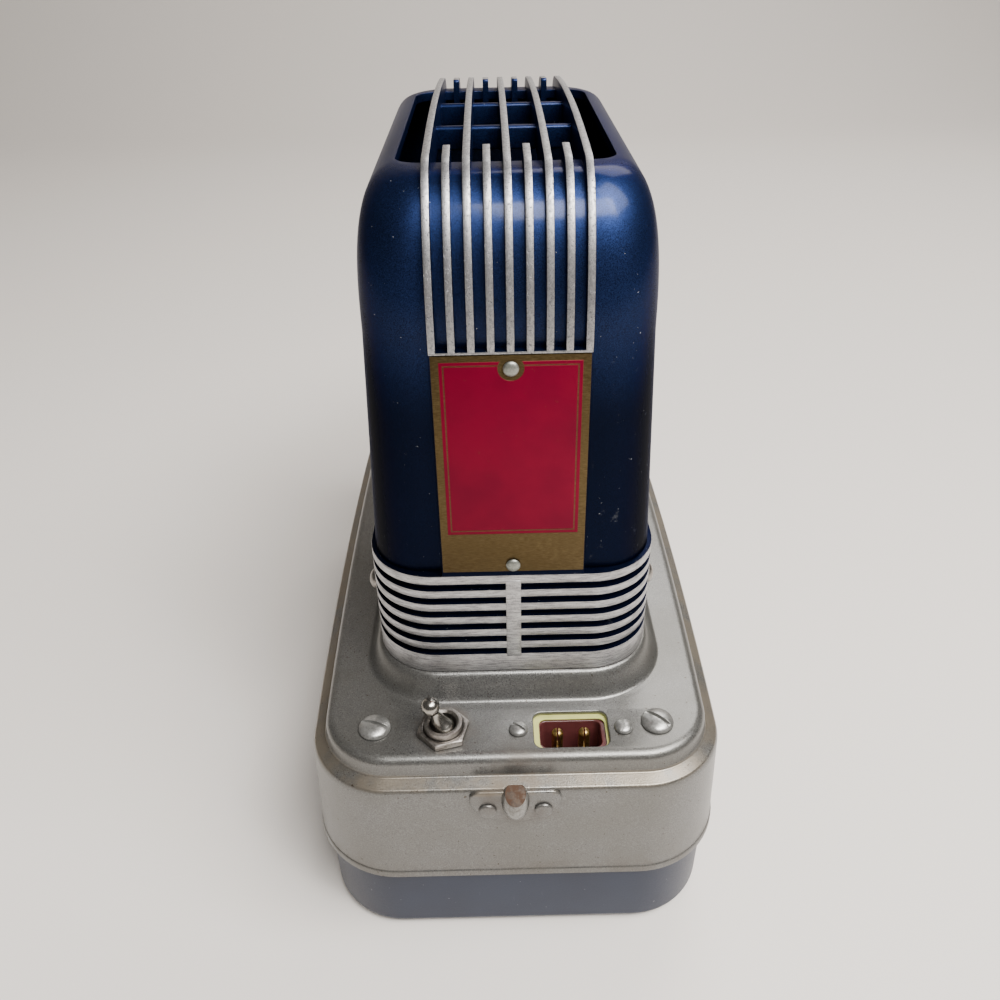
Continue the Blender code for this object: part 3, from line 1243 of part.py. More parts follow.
def make_glass():
    bulge = lens_profile(CONDENSER_RADIUS, CONDENSER_EDGE, CONDENSER_SAG, 0)
    flat = lens_profile(CONDENSER_RADIUS, HEAT_GLASS_THICKNESS, 0, 0)
    turned("rear_condenser", bulge, (0, REAR_CONDENSER_Y, AXIS_Z), "-Y", "glass")
    turned("heat_glass", flat, (0, HEAT_GLASS_Y, AXIS_Z), "Y", "glass")
    turned("front_condenser", bulge, (0, FRONT_CONDENSER_Y, AXIS_Z), "Y", "glass")


def make_reflector():
    rim = math.asin(REFLECTOR_RADIUS / REFLECTOR_CURVE)
    outer = REFLECTOR_CURVE + REFLECTOR_WALL
    neck = math.asin(REFLECTOR_SHOULDER / outer)
    shoulder_z = outer + REFLECTOR_STUD_LENGTH
    stud_z = shoulder_z + GAP + FRAME_SHEET + GAP
    profile = [(0, stud_z), (REFLECTOR_STUD, stud_z), (REFLECTOR_STUD, shoulder_z),
               (REFLECTOR_SHOULDER, shoulder_z)]
    steps = ARC_STEPS + 1
    for i in range(steps + 1):
        angle = neck + (rim - neck) * i / steps
        profile.append((outer * math.sin(angle), outer * math.cos(angle)))
    for i in reversed(range(steps + 1)):
        angle = rim * i / steps
        profile.append((REFLECTOR_CURVE * math.sin(angle), REFLECTOR_CURVE * math.cos(angle)))
    turned("reflector", profile, (0, LAMP_Y, AXIS_Z), "Y", "mirror")


# Lamp: socket, metal base, blown envelope open at its neck, and the filament
def make_lamp():
    floor_z = FRAME_TOP_Z + GAP
    socket = [(0, floor_z + SOCKET_FLOOR), (SOCKET_BORE, floor_z + SOCKET_FLOOR), (SOCKET_BORE, SOCKET_TOP_Z),
              (SOCKET_RADIUS, SOCKET_TOP_Z), (SOCKET_RADIUS, floor_z), (0, floor_z)]
    turned("lamp_socket", socket, (0, LAMP_Y, 0), coat="ceramic")
    flange_z = SOCKET_TOP_Z + GAP
    flange_top = flange_z + LAMP_FLANGE_THICKNESS
    foot_z = floor_z + SOCKET_FLOOR + GAP
    base = [(0, LAMP_NECK_Z), (LAMP_NECK_RADIUS, LAMP_NECK_Z), (LAMP_BASE_RADIUS, flange_top),
            (LAMP_FLANGE_RADIUS, flange_top), (LAMP_FLANGE_RADIUS, flange_z), (LAMP_BASE_RADIUS, flange_z),
            (LAMP_BASE_RADIUS, foot_z), (0, foot_z)]
    turned("lamp_base", base, (0, LAMP_Y, 0), coat="brass")
    straight_z = BULB_TOP_Z - BULB_RADIUS
    bulb = [(BULB_RADIUS * math.cos(angle), straight_z + BULB_RADIUS * math.sin(angle))
            for angle in [math.pi / 2 * (1 - i / ARC_STEPS) for i in range(ARC_STEPS + 1)]]
    neck_z = LAMP_NECK_Z + GAP
    bulb += [(BULB_RADIUS, neck_z + BULB_SHOULDER), (LAMP_NECK_RADIUS, neck_z)]
    inner = [(max(radius - BULB_WALL, 0), z - BULB_WALL) for radius, z in reversed(bulb[:-1])]
    inner.insert(0, (LAMP_NECK_RADIUS - BULB_WALL, neck_z))
    turned("lamp_bulb", bulb + inner, (0, LAMP_Y, 0), coat="glass")
    make_filament(neck_z)


def make_filament(foot_z):
    half = FILAMENT_SIZE / 2
    path = [(-FILAMENT_LEADS / 2, 0, foot_z), (-half, 0, AXIS_Z - half - FILAMENT_LEADS)]
    for i in range(FILAMENT_LEGS):
        x = -half + FILAMENT_SIZE * i / (FILAMENT_LEGS - 1)
        ends = [(x, 0, AXIS_Z - half), (x, 0, AXIS_Z + half)]
        path += ends if i % 2 == 0 else ends[::-1]
    path += [(half, 0, AXIS_Z - half - FILAMENT_LEADS), (FILAMENT_LEADS / 2, 0, foot_z)]
    curve = bpy.data.curves.new("lamp_filament", "CURVE")
    curve.dimensions = "3D"
    curve.bevel_depth = FILAMENT_WIRE
    curve.bevel_resolution = 0
    curve.use_fill_caps = True
    spline = curve.splines.new("POLY")
    spline.points.add(len(path) - 1)
    for point, co in zip(spline.points, path):
        point.co = (*co, 1)
    mesh_from_curve("lamp_filament", curve, "steel", (0, LAMP_Y, 0))


# Slide gate and the carrier that slides through it
def make_slide_gate():
    channel_y = CARRIER_THICKNESS / 2 + GUIDE_CLEARANCE
    channel_z = CARRIER_HEIGHT / 2 + GUIDE_CLEARANCE
    half = (GATE_LENGTH / 2, channel_y + GATE_WALL, channel_z + GATE_WALL)
    gate = box("slide_gate", (-half[0], GATE_Y - half[1], AXIS_Z - half[2]),
               (half[0], GATE_Y + half[1], AXIS_Z + half[2]), "black")
    for side in (1, -1):
        xs = sorted((side * (half[0] - CUT_OVERRUN), side * (half[0] - CUT_OVERRUN - GATE_LEG)))
        join(gate, box(f"gate_leg_{side}", (xs[0], GATE_Y - channel_y, FRAME_TOP_Z + GAP),
                       (xs[1], GATE_Y + channel_y, AXIS_Z - channel_z - GATE_WALL / 2)))
    reach = half[0] + CUT_OVERRUN
    cut(gate, box("gate_channel", (-reach, GATE_Y - channel_y, AXIS_Z - channel_z),
                  (reach, GATE_Y + channel_y, AXIS_Z + channel_z)))
    aperture = GATE_APERTURE / 2
    depth = half[1] + CUT_OVERRUN
    cut(gate, box("gate_aperture", (-aperture, GATE_Y - depth, AXIS_Z - aperture),
                  (aperture, GATE_Y + depth, AXIS_Z + aperture)))


def make_slide_carrier():
    half_x = CARRIER_LENGTH / 2
    half_y = CARRIER_THICKNESS / 2
    half_z = CARRIER_HEIGHT / 2
    carrier = box("slide_carrier", (-half_x, GATE_Y - half_y, AXIS_Z - half_z),
                  (half_x, GATE_Y + half_y, AXIS_Z + half_z), "black")
    grip_low = (half_x - CUT_OVERRUN, GATE_Y - GRIP_WIDTH / 2, AXIS_Z - GRIP_HEIGHT / 2)
    grip_high = (half_x + GRIP_LENGTH, GATE_Y + GRIP_WIDTH / 2, AXIS_Z + GRIP_HEIGHT / 2)
    join(carrier, box("carrier_grip", grip_low, grip_high))
    pocket = SLIDE_SIZE / 2
    cut(carrier, box("slide_pocket", (-pocket, GATE_Y - SLIDE_SLOT / 2, AXIS_Z - half_z + SLIDE_FLOOR),
                     (pocket, GATE_Y + SLIDE_SLOT / 2, AXIS_Z + half_z + CUT_OVERRUN)))
    window = CARRIER_WINDOW / 2
    depth = half_y + CUT_OVERRUN
    cut(carrier, box("carrier_window", (-window, GATE_Y - depth, AXIS_Z - window),
                     (window, GATE_Y + depth, AXIS_Z + window)))


# Lens tube with its gearbox, lens barrel with its rack, and the glass in the barrel
def make_lens_tube():
    bore = BARREL_RADIUS + BARREL_CLEARANCE
    profile = [(bore, TUBE_LENGTH), (TUBE_RADIUS, TUBE_LENGTH), (TUBE_RADIUS, TUBE_FLANGE),
               (TUBE_FLANGE_RADIUS, TUBE_FLANGE), (TUBE_FLANGE_RADIUS, 0), (TUBE_SPIGOT_RADIUS, 0),
               (TUBE_SPIGOT_RADIUS, -TUBE_SPIGOT), (bore, -TUBE_SPIGOT)]
    tube = turned("lens_tube", profile, (0, TUBE_Y, AXIS_Z), "-Y", "aluminium", LARGE_STEPS, ring=True)
    pocket = PITCH_RADIUS + GEAR_MODULE + GEARBOX_WALL / 4
    side = pocket + GEARBOX_WALL
    half_x = RACK_WIDTH / 2 + GAP + GEARBOX_WALL
    block_top = AXIS_Z - math.sqrt(TUBE_RADIUS ** 2 - half_x ** 2) + (TUBE_RADIUS - bore) / 2
    join(tube, box("gearbox", (-half_x, PINION_Y - side, PINION_Z - side),
                   (half_x, PINION_Y + side, block_top)))
    slot_x = RACK_WIDTH / 2 + GAP
    cut(tube, rod("gear_pocket", pocket, (-slot_x, PINION_Y, PINION_Z), 2 * slot_x, "X", steps=MEDIUM_STEPS))
    tip_z = AXIS_Z - RACK_DROP - GEAR_MODULE * ADDENDUM_SHARE
    cut(tube, box("rack_slot", (-slot_x, TUBE_FRONT_Y - CUT_OVERRUN, tip_z - GAP),
                  (slot_x, TUBE_Y + TUBE_SPIGOT + CUT_OVERRUN, AXIS_Z - bore / 2)))
    reach = half_x + CUT_OVERRUN
    cut(tube, rod("shaft_hole", PINION_SHAFT + SHAFT_CLEARANCE, (-reach, PINION_Y, PINION_Z), 2 * reach, "X"))


def make_lens_barrel():
    profile = [(BARREL_BORE, BARREL_LIP)]
    groove = BARREL_LIP / (2 * LIP_GROOVES + 1)
    for i in range(2 * LIP_GROOVES + 1):
        radius = BARREL_LIP_RADIUS - (LIP_GROOVE_DEPTH if i % 2 else 0)
        profile += [(radius, BARREL_LIP - groove * i), (radius, BARREL_LIP - groove * (i + 1))]
    profile += [(BARREL_RADIUS, 0), (BARREL_RADIUS, -BARREL_LENGTH), (BARREL_BORE, -BARREL_LENGTH)]
    front_y = TUBE_FRONT_Y - GAP
    barrel = turned("lens_barrel", profile, (0, front_y, AXIS_Z), "-Y", "aluminium", LARGE_STEPS, ring=True)
    add_rack(barrel)
    edge = lens_profile(BARREL_BORE - GAP, LENS_EDGE, LENS_SAG, LENS_SAG)
    front_lens_y = front_y - BARREL_LIP + FRONT_LENS_INSET + LENS_EDGE / 2
    rear_lens_y = front_y + BARREL_LENGTH - REAR_LENS_INSET - LENS_EDGE / 2
    turned("front_lens", edge, (0, front_lens_y, AXIS_Z), "-Y", "glass")
    turned("rear_lens", edge, (0, rear_lens_y, AXIS_Z), "-Y", "glass")


def add_rack(barrel):
    tip_z = AXIS_Z - RACK_DROP - GEAR_MODULE * ADDENDUM_SHARE
    first = PINION_Y - RACK_LEAD * RACK_PITCH
    last = first + (RACK_GAPS - 1) * RACK_PITCH
    join(barrel, box("rack", (-RACK_WIDTH / 2, first - RACK_PITCH, tip_z),
                     (RACK_WIDTH / 2, last + RACK_PITCH, AXIS_Z - (BARREL_RADIUS + BARREL_BORE) / 2)))
    outline = rack_gap_outline()
    width = RACK_WIDTH + 2 * CUT_OVERRUN
    for i in range(RACK_GAPS):
        at = (0, first + RACK_PITCH * i, AXIS_Z - RACK_DROP)
        cut(barrel, prism(f"rack_gap_{i}", outline, width, at, PLANE_YZ))


def rack_gap_outline():
    depth = GEAR_MODULE * DEDENDUM_SHARE
    mouth = GEAR_MODULE * ADDENDUM_SHARE + GEAR_MODULE
    half = RACK_PITCH / 4 + TOOTH_BACKLASH / 2
    foot = half - depth * math.tan(TOOTH_SLOPE)
    wide = half + mouth * math.tan(TOOTH_SLOPE)
    return [(-foot, depth), (-wide, -mouth), (wide, -mouth), (foot, depth)]


def pinion_outline():
    tip_radius = PITCH_RADIUS + GEAR_MODULE * ADDENDUM_SHARE
    root_radius = PITCH_RADIUS - GEAR_MODULE * DEDENDUM_SHARE
    half = (RACK_PITCH / 4 - TOOTH_BACKLASH / 2) / PITCH_RADIUS
    tip_half = half - GEAR_MODULE * ADDENDUM_SHARE * math.tan(TOOTH_SLOPE) / PITCH_RADIUS
    root_half = half + GEAR_MODULE * DEDENDUM_SHARE * math.tan(TOOTH_SLOPE) / PITCH_RADIUS
    points = []
    for i in range(PINION_TEETH):
        middle = math.pi / 2 + math.tau * i / PINION_TEETH
        for radius, offset in ((root_radius, -root_half), (tip_radius, -tip_half), (tip_radius, tip_half),
                               (root_radius, root_half)):
            angle = middle + offset
            points.append((radius * math.cos(angle), radius * math.sin(angle)))
    return points


def make_focus_drive():
    half_x = RACK_WIDTH / 2 + GAP + GEARBOX_WALL
    at = (0, PINION_Y, PINION_Z)
    pinion = prism("focus_pinion", pinion_outline(), RACK_WIDTH, at, PLANE_YZ, "brass")
    left = half_x + GAP
    knob_start = half_x + GAP + KNOB_HUB
    right = knob_start + KNOB_WIDTH / 2
    shaft = rod("pinion_shaft", PINION_SHAFT, (-left, PINION_Y, PINION_Z), left + right, "X")
    join(pinion, shaft)
    middle = (knob_start + KNOB_WIDTH / 2, PINION_Y, PINION_Z)
    knob = prism("focus_knob", flower(KNOB_RADIUS, KNOB_FLUTE_DEPTH, KNOB_FLUTES), KNOB_WIDTH, middle,
                 TURNS["X"], "black")
    join(knob, rod("knob_hub", KNOB_HUB_RADIUS, (half_x + GAP, PINION_Y, PINION_Z), 2 * KNOB_HUB, "X"))
    bore_start = half_x + GAP - CUT_OVERRUN
    cut(knob, rod("knob_bore", PINION_SHAFT + SHAFT_CLEARANCE, (bore_start, PINION_Y, PINION_Z),
                  right + GAP - bore_start, "X"))


# Fan motor: core, coil, bracket and rotor, all about one upright shaft
def make_motor():
    make_motor_core()
    make_motor_coil()
    make_motor_bracket()
    shaft_top = FAN_Z + FAN_HUB_HEIGHT + GAP
    rotor_z = MOTOR_CORE_Z + (MOTOR_CORE_HEIGHT - ROTOR_HEIGHT) / 2
    shaft_foot = PAN_FLOOR_Z + GAP + BRACKET_SHEET / 2
    profile = [(0, shaft_top), (MOTOR_SHAFT, shaft_top), (MOTOR_SHAFT, rotor_z + ROTOR_HEIGHT),
               (ROTOR_RADIUS, rotor_z + ROTOR_HEIGHT), (ROTOR_RADIUS, rotor_z), (MOTOR_SHAFT, rotor_z),
               (MOTOR_SHAFT, shaft_foot), (0, shaft_foot)]
    turned("motor_rotor", profile, (0, HOUSING_Y, 0), coat="steel")


def make_motor_core():
    half_x = BRACKET_SPAN / 2 - GAP
    window_end = MOTOR_CORE_LENGTH - MOTOR_CORE_REACH - MOTOR_LIMB
    low_y = HOUSING_Y - MOTOR_CORE_REACH
    high_y = low_y + MOTOR_CORE_LENGTH
    top_z = MOTOR_CORE_Z + MOTOR_CORE_HEIGHT
    core = box("motor_core", (-half_x, low_y, MOTOR_CORE_Z), (half_x, high_y, top_z), "steel")
    start = (0, HOUSING_Y, MOTOR_CORE_Z - CUT_OVERRUN)
    through = MOTOR_CORE_HEIGHT + 2 * CUT_OVERRUN
    cut(core, rod("rotor_bore", ROTOR_RADIUS + ROTOR_AIR_GAP, start, through, steps=MEDIUM_STEPS))
    half_window = MOTOR_WINDOW_WIDTH / 2
    cut(core, box("core_window", (-half_window, HOUSING_Y + MOTOR_WINDOW_START, start[2]),
                  (half_window, HOUSING_Y + window_end, start[2] + through)))


def make_motor_coil():
    limb_start = HOUSING_Y + MOTOR_CORE_LENGTH - MOTOR_CORE_REACH - MOTOR_LIMB
    limb_end = limb_start + MOTOR_LIMB
    half_x = MOTOR_WINDOW_WIDTH / 2 - GAP
    top_z = MOTOR_CORE_Z + MOTOR_CORE_HEIGHT
    wall = COIL_WALL + GAP
    coil = box("motor_coil", (-half_x, limb_start - wall, MOTOR_CORE_Z - wall),
               (half_x, limb_end + wall, top_z + wall), "copper")
    bevel(coil, COIL_ROUND, 2)
    reach = half_x + CUT_OVERRUN
    cut(coil, box("coil_hole", (-reach, limb_start - GAP, MOTOR_CORE_Z - GAP),
                  (reach, limb_end + GAP, top_z + GAP)))


def make_motor_bracket():
    floor_z = PAN_FLOOR_Z + GAP
    half_x = BRACKET_SPAN / 2 + BRACKET_POST
    half_y = BRACKET_WIDTH / 2
    bracket = box("motor_bracket", (-half_x, HOUSING_Y - half_y, floor_z),
                  (half_x, HOUSING_Y + half_y, BRACKET_TOP_Z), "steel")
    reach_y = half_y + CUT_OVERRUN
    cut(bracket, box("bracket_middle", (-BRACKET_SPAN / 2, HOUSING_Y - reach_y, floor_z + BRACKET_SHEET),
                     (BRACKET_SPAN / 2, HOUSING_Y + reach_y, BRACKET_TOP_Z - BRACKET_SHEET)))
    for name, foot_z in (("lower_bearing", floor_z), ("upper_bearing", BRACKET_TOP_Z - BRACKET_SHEET)):
        join(bracket, rod(name, BEARING_RADIUS, (0, HOUSING_Y, foot_z + BRACKET_SHEET / 4), BEARING_HEIGHT))
    cut(bracket, rod("bearing_bore", MOTOR_SHAFT + SHAFT_CLEARANCE, (0, HOUSING_Y, floor_z - CUT_OVERRUN),
                     BRACKET_TOP_Z + BEARING_HEIGHT))


# Fan wheel: a hub and pitched, cambered blades lofted from root to tip
def blade(index):
    rings = []
    turn = Matrix.Rotation(math.tau * index / FAN_BLADES, 4, "Z")
    root = FAN_HUB_RADIUS - BLADE_THICKNESS
    for i in range(BLADE_SECTIONS):
        share = i / (BLADE_SECTIONS - 1)
        radius = root + (FAN_RADIUS - root) * share
        chord = BLADE_ROOT_CHORD + (BLADE_TIP_CHORD - BLADE_ROOT_CHORD) * share
        pitch = BLADE_ROOT_PITCH + (BLADE_TIP_PITCH - BLADE_ROOT_PITCH) * share
        half = BLADE_THICKNESS / 2
        upper = [(-chord / 2, half), (0, half + BLADE_CAMBER), (chord / 2, half)]
        lower = [(chord / 2, -half), (0, BLADE_CAMBER - half), (-chord / 2, -half)]
        ring = []
        for along, across in upper + lower:
            y = along * math.cos(pitch) - across * math.sin(pitch)
            z = along * math.sin(pitch) + across * math.cos(pitch)
            ring.append(turn @ Vector((math.sqrt(max(radius ** 2 - y ** 2, 0)), y, z)))
        rings.append(ring)
    return loft(f"fan_blade_{index}", rings, at=(0, HOUSING_Y, FAN_Z + FAN_HUB_HEIGHT / 2))


def make_fan():
    bore = MOTOR_SHAFT + SHAFT_CLEARANCE
    top = FAN_HUB_HEIGHT
    profile = [(bore, top), (FAN_HUB_RADIUS - BLADE_THICKNESS, top), (FAN_HUB_RADIUS, top - BLADE_THICKNESS),
               (FAN_HUB_RADIUS, 0), (bore, 0)]
    fan = turned("fan_wheel", profile, (0, HOUSING_Y, FAN_Z), coat="aluminium", ring=True)
    join(fan, *[blade(i) for i in range(FAN_BLADES)])


# Elevating gear: a captive knurled wheel drives a threaded leg down through the pan
def make_elevating_gear():
    upper_z = WHEEL_Z + WHEEL_HEIGHT + GAP
    lower_z = WHEEL_Z - GAP - ELEVATOR_SHEET
    wall_y = LEG_Y + ELEVATOR_WALL_OFFSET
    half_x = ELEVATOR_WIDTH / 2
    floor_z = PAN_FLOOR_Z + GAP
    bracket = box("elevating_bracket", (-half_x, wall_y, floor_z),
                  (half_x, wall_y + ELEVATOR_SHEET, upper_z + ELEVATOR_SHEET), "steel")
    front = LEG_Y - ELEVATOR_REACH
    for name, z, start in (("upper_arm", upper_z, front), ("lower_arm", lower_z, front),
                           ("floor_flange", floor_z, wall_y - ELEVATOR_FLANGE)):
        high = (half_x, wall_y + ELEVATOR_SHEET / 2, z + ELEVATOR_SHEET)
        join(bracket, box(name, (-half_x, start, z), high))
    hole = LEG_RADIUS + SHAFT_CLEARANCE
    cut(bracket, rod("leg_guide", hole, (0, LEG_Y, lower_z - CUT_OVERRUN),
                     upper_z - lower_z + ELEVATOR_SHEET + 2 * CUT_OVERRUN))
    wheel = prism("elevating_wheel", flower(WHEEL_RADIUS, WHEEL_KNURL_DEPTH, WHEEL_KNURLS), WHEEL_HEIGHT,
                  (0, LEG_Y, WHEEL_Z + WHEEL_HEIGHT / 2), coat="brass")
    cut(wheel, rod("wheel_bore", hole, (0, LEG_Y, WHEEL_Z - CUT_OVERRUN), WHEEL_HEIGHT + 2 * CUT_OVERRUN))
    tip_top = LEG_TIP_FLOOR_Z + LEG_TIP_HEIGHT
    leg_foot = tip_top + GAP
    spigot_foot = leg_foot - LEG_SPIGOT_LENGTH
    leg = [(0, LEG_TOP_Z), (LEG_RADIUS - FOOT_CHAMFER, LEG_TOP_Z), (LEG_RADIUS, LEG_TOP_Z - FOOT_CHAMFER),
           (LEG_RADIUS, leg_foot), (LEG_SPIGOT, leg_foot), (LEG_SPIGOT, spigot_foot), (0, spigot_foot)]
    turned("elevating_leg", leg, (0, LEG_Y, 0), coat="steel", steps=SMALL_STEPS)
    socket = LEG_SPIGOT + SHAFT_CLEARANCE
    tip = [(0, spigot_foot - GAP), (socket, spigot_foot - GAP), (socket, tip_top), (LEG_TIP_RADIUS, tip_top),
           (LEG_TIP_RADIUS, LEG_TIP_FLOOR_Z + FOOT_CHAMFER), (LEG_TIP_RADIUS - FOOT_CHAMFER, LEG_TIP_FLOOR_Z),
           (0, LEG_TIP_FLOOR_Z)]
    turned("leg_tip", tip, (0, LEG_Y, 0), coat="rubber", steps=SMALL_STEPS)


clear_scene()
PARTS = new_collection("slide_projector")
CUTTERS = new_collection("cutters")
make_base_cover()
make_base_pan()
make_feet()
make_deck_screws()
make_catch("rear", 1)
make_catch("front", -1)
make_lamp_housing()
make_nameplate()
make_side_screws()
make_toggle()
make_inlet()
make_optics_frame()
make_glass()
make_reflector()
make_lamp()
make_slide_gate()
make_slide_carrier()
make_lens_tube()
make_lens_barrel()
make_focus_drive()
make_motor()
make_fan()
make_elevating_gear()
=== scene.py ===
import math

import bmesh
import bpy
from mathutils import Matrix, Vector


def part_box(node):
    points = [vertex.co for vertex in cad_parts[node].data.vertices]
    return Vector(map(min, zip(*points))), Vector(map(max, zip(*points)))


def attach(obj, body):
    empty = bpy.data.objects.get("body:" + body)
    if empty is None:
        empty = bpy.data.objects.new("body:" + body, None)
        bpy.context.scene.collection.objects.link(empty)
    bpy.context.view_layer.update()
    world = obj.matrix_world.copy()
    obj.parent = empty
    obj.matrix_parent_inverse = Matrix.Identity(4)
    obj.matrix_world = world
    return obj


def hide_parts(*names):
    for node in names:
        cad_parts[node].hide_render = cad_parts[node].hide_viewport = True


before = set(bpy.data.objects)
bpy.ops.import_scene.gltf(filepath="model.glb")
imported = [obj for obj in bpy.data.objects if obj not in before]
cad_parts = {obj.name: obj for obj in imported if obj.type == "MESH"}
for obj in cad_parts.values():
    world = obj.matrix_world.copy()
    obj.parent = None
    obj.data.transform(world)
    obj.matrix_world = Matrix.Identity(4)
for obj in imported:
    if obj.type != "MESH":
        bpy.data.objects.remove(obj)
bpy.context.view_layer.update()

weld = 0.000004
overrun = 0.002  # how far a cutting tool reaches past what it cuts
gap = 0.0003  # between pieces that rest on one another
housingY = 0.0158
axisZ = 0.161
fittingsY = 0.1098
switchX = 0.0222
ends = ((1, "Rear"), (-1, "Front"))
turns = {"up": Matrix.Identity(4), "front": Matrix.Rotation(math.pi / 2, 4, "X"),
         "right": Matrix.Rotation(math.pi / 2, 4, "Y"), "left": Matrix.Rotation(-math.pi / 2, 4, "Y")}


# Finishes: one class for a socket in a sum, one for a material and its nodes
class Wire:
    def __init__(self, coat, socket):
        self.coat = coat
        self.socket = socket

    def sum(self, operation, first, second):
        return self.coat.node("ShaderNodeMath", {"operation": operation}, {0: first, 1: second})

    def __add__(self, other):
        return self.sum("ADD", self, other)

    def __radd__(self, other):
        return self.sum("ADD", other, self)

    def __sub__(self, other):
        return self.sum("SUBTRACT", self, other)

    def __rsub__(self, other):
        return self.sum("SUBTRACT", other, self)

    def __mul__(self, other):
        return self.sum("MULTIPLY", self, other)

    def __rmul__(self, other):
        return self.sum("MULTIPLY", other, self)

    def __truediv__(self, other):
        return self.sum("DIVIDE", self, other)

    def __abs__(self):
        return self.coat.node("ShaderNodeMath", {"operation": "ABSOLUTE"}, {0: self})


class Coat:
    def __init__(self, name, **fixed):
        self.material = bpy.data.materials.new(name)
        self.material.use_nodes = True
        self.tree = self.material.node_tree
        self.shader = self.tree.nodes["Principled BSDF"]
        self.finish(**fixed)
        self.place = self.node("ShaderNodeTexCoord", {}, {}, "Object")
        outputs = self.node("ShaderNodeSeparateXYZ", {}, {0: self.place}).socket.node.outputs
        self.x, self.y, self.z = (Wire(self, outputs[axis]) for axis in "XYZ")

    # one way to make any node: its settings first, then the values or links of its sockets
    def node(self, kind, settings, values, output=0):
        made = self.tree.nodes.new(kind)
        for name, value in settings.items():
            setattr(made, name, value)
        for name, value in values.items():
            self.feed(made.inputs[name], value)
        return Wire(self, made.outputs[output])

    def feed(self, socket, value):
        if isinstance(value, Wire):
            self.tree.links.new(value.socket, socket)
        elif isinstance(value, tuple) and socket.type == "RGBA":
            socket.default_value = (*value, 1)
        else:
            socket.default_value = value

    # sets principled sockets by their words run together, such as coatWeight
    def finish(self, **parts):
        sockets = {socket.name.replace(" ", "").lower(): socket for socket in reversed(self.shader.inputs)}
        for words, value in parts.items():
            self.feed(sockets[words.lower()], value)
        return self.material

    def noise(self, size, detail=2.0, rough=0.5, stretch=(1, 1, 1), shift=(0, 0, 0)):
        spot = self.node("ShaderNodeMapping", {}, {"Vector": self.place, "Location": shift, "Scale": stretch})
        return self.node("ShaderNodeTexNoise", {"noise_dimensions": "3D"},
                         {"Vector": spot, "Scale": 1 / size, "Detail": detail, "Roughness": rough}, "Fac")

    # noise along one direction, and a line that goes up and down along one direction
    def streak(self, along, size, detail, rough):
        return self.node("ShaderNodeTexNoise", {"noise_dimensions": "1D"},
                         {"W": along, "Scale": 1 / size, "Detail": detail, "Roughness": rough}, "Fac")

    def zigzag(self, along, size):
        return self.node("ShaderNodeMath", {"operation": "PINGPONG"}, {0: along, 1: size}) / size

    def least(self, first, second):
        return self.node("ShaderNodeMath", {"operation": "MINIMUM"}, {0: first, 1: second})

    # bottom below low, top above high, smooth between
    def ramp(self, value, low, high, top=1.0, bottom=0.0):
        return self.node("ShaderNodeMapRange", {"interpolation_type": "SMOOTHSTEP", "clamp": True},
                         {"Value": value, "From Min": low, "From Max": high, "To Min": bottom, "To Max": top})

    # 1 below low, 0 above high
    def fall(self, value, low, high):
        return self.ramp(value, low, high, 0.0, 1.0)

    def near(self, at, reach, fade):
        away = self.node("ShaderNodeVectorMath", {"operation": "DISTANCE"}, {0: self.place, 1: at}, "Value")
        return self.fall(away, reach, reach + fade)

    def blend(self, share, first, second):
        return self.node("ShaderNodeMix", {"data_type": "RGBA", "blend_type": "MIX", "clamp_factor": True},
                         {0: share, 6: first, 7: second}, 2)

    def bump(self, height, distance, strength=1.0, under=None):
        values = {"Height": height, "Distance": distance, "Strength": strength}
        if under:
            values["Normal"] = under
        return self.node("ShaderNodeBump", {}, values, "Normal")


coverLook = {"paint": (0.15, 0.15, 0.147), "flake": (0.22, 0.221, 0.216), "grime": (0.075, 0.052, 0.034),
             "beige": (0.25, 0.215, 0.165), "olive": (0.125, 0.12, 0.1), "speck": (0.05, 0.035, 0.02),
             "flakeSize": 0.0004, "cloudSize": 0.035, "patchSize": 0.012, "speckSize": 0.0011,
             "ledgeFoot": (0.0688, 0.07), "ledgeHead": (0.0718, 0.0728), "skirt": (0.031, 0.047),
             "nutAt": (switchX, fittingsY, 0.0783), "nutReach": 0.0072, "nutFade": 0.005,
             "catchAt": (-0.0008, 0.1262, 0.0706), "catchReach": 0.004, "catchFade": 0.016,
             "metallic": 0.8, "roughness": 0.33}


# silver-grey paint: beige along the ledge, grime on the ledge, and darker, browner patches towards the skirt's foot,
# round the nut and round the top of the catch
def coverPaint():
    look = coverLook
    coat = Coat("coverPaint", IOR=1.5)
    flake = coat.noise(look["flakeSize"], 1.0, 0.6)
    cloud = coat.noise(look["cloudSize"], 4.0, 0.6)
    patch = coat.noise(look["patchSize"], 5.0, 0.65, shift=(3, 1, 2))
    paint = coat.blend(coat.ramp(flake, 0.42, 0.72), look["paint"], look["flake"])
    paint = coat.blend(coat.ramp(cloud, 0.35, 0.7, 0.35), paint, look["olive"])
    ledge = coat.ramp(coat.z, *look["ledgeFoot"]) * coat.fall(coat.z, *look["ledgeHead"])
    paint = coat.blend(ledge * coat.ramp(patch, 0.3, 0.6, 0.7), paint, look["beige"])
    skirt = coat.fall(coat.z, *look["skirt"]) * 0.4
    nut = coat.near(look["nutAt"], look["nutReach"], look["nutFade"])
    catch = coat.near(look["catchAt"], look["catchReach"], look["catchFade"]) * 0.6
    # brown darkening: grime on the ledge, and darker, browner patches round the nut, towards the skirt's foot and round
    # the top of the rear catch
    brownDarkening = (ledge * 0.15 + skirt * 0.7 + nut * 0.75 + catch) * coat.ramp(patch, 0.36, 0.68)
    speck = coat.ramp(coat.noise(look["speckSize"], 1.0, 0.5, shift=(7, 4, 1)), 0.735, 0.77)
    paint = coat.blend(brownDarkening, paint, look["grime"])
    return coat.finish(baseColor=coat.blend(speck * 0.75, paint, look["speck"]),
                       metallic=look["metallic"] - brownDarkening * 0.45,
                       roughness=look["roughness"] + (flake - 0.5) * 0.3 + brownDarkening * 0.2 + (cloud - 0.5) * 0.1,
                       normal=coat.bump(cloud, 0.0006, 0.12, coat.bump(flake, 0.00006, 0.55)))


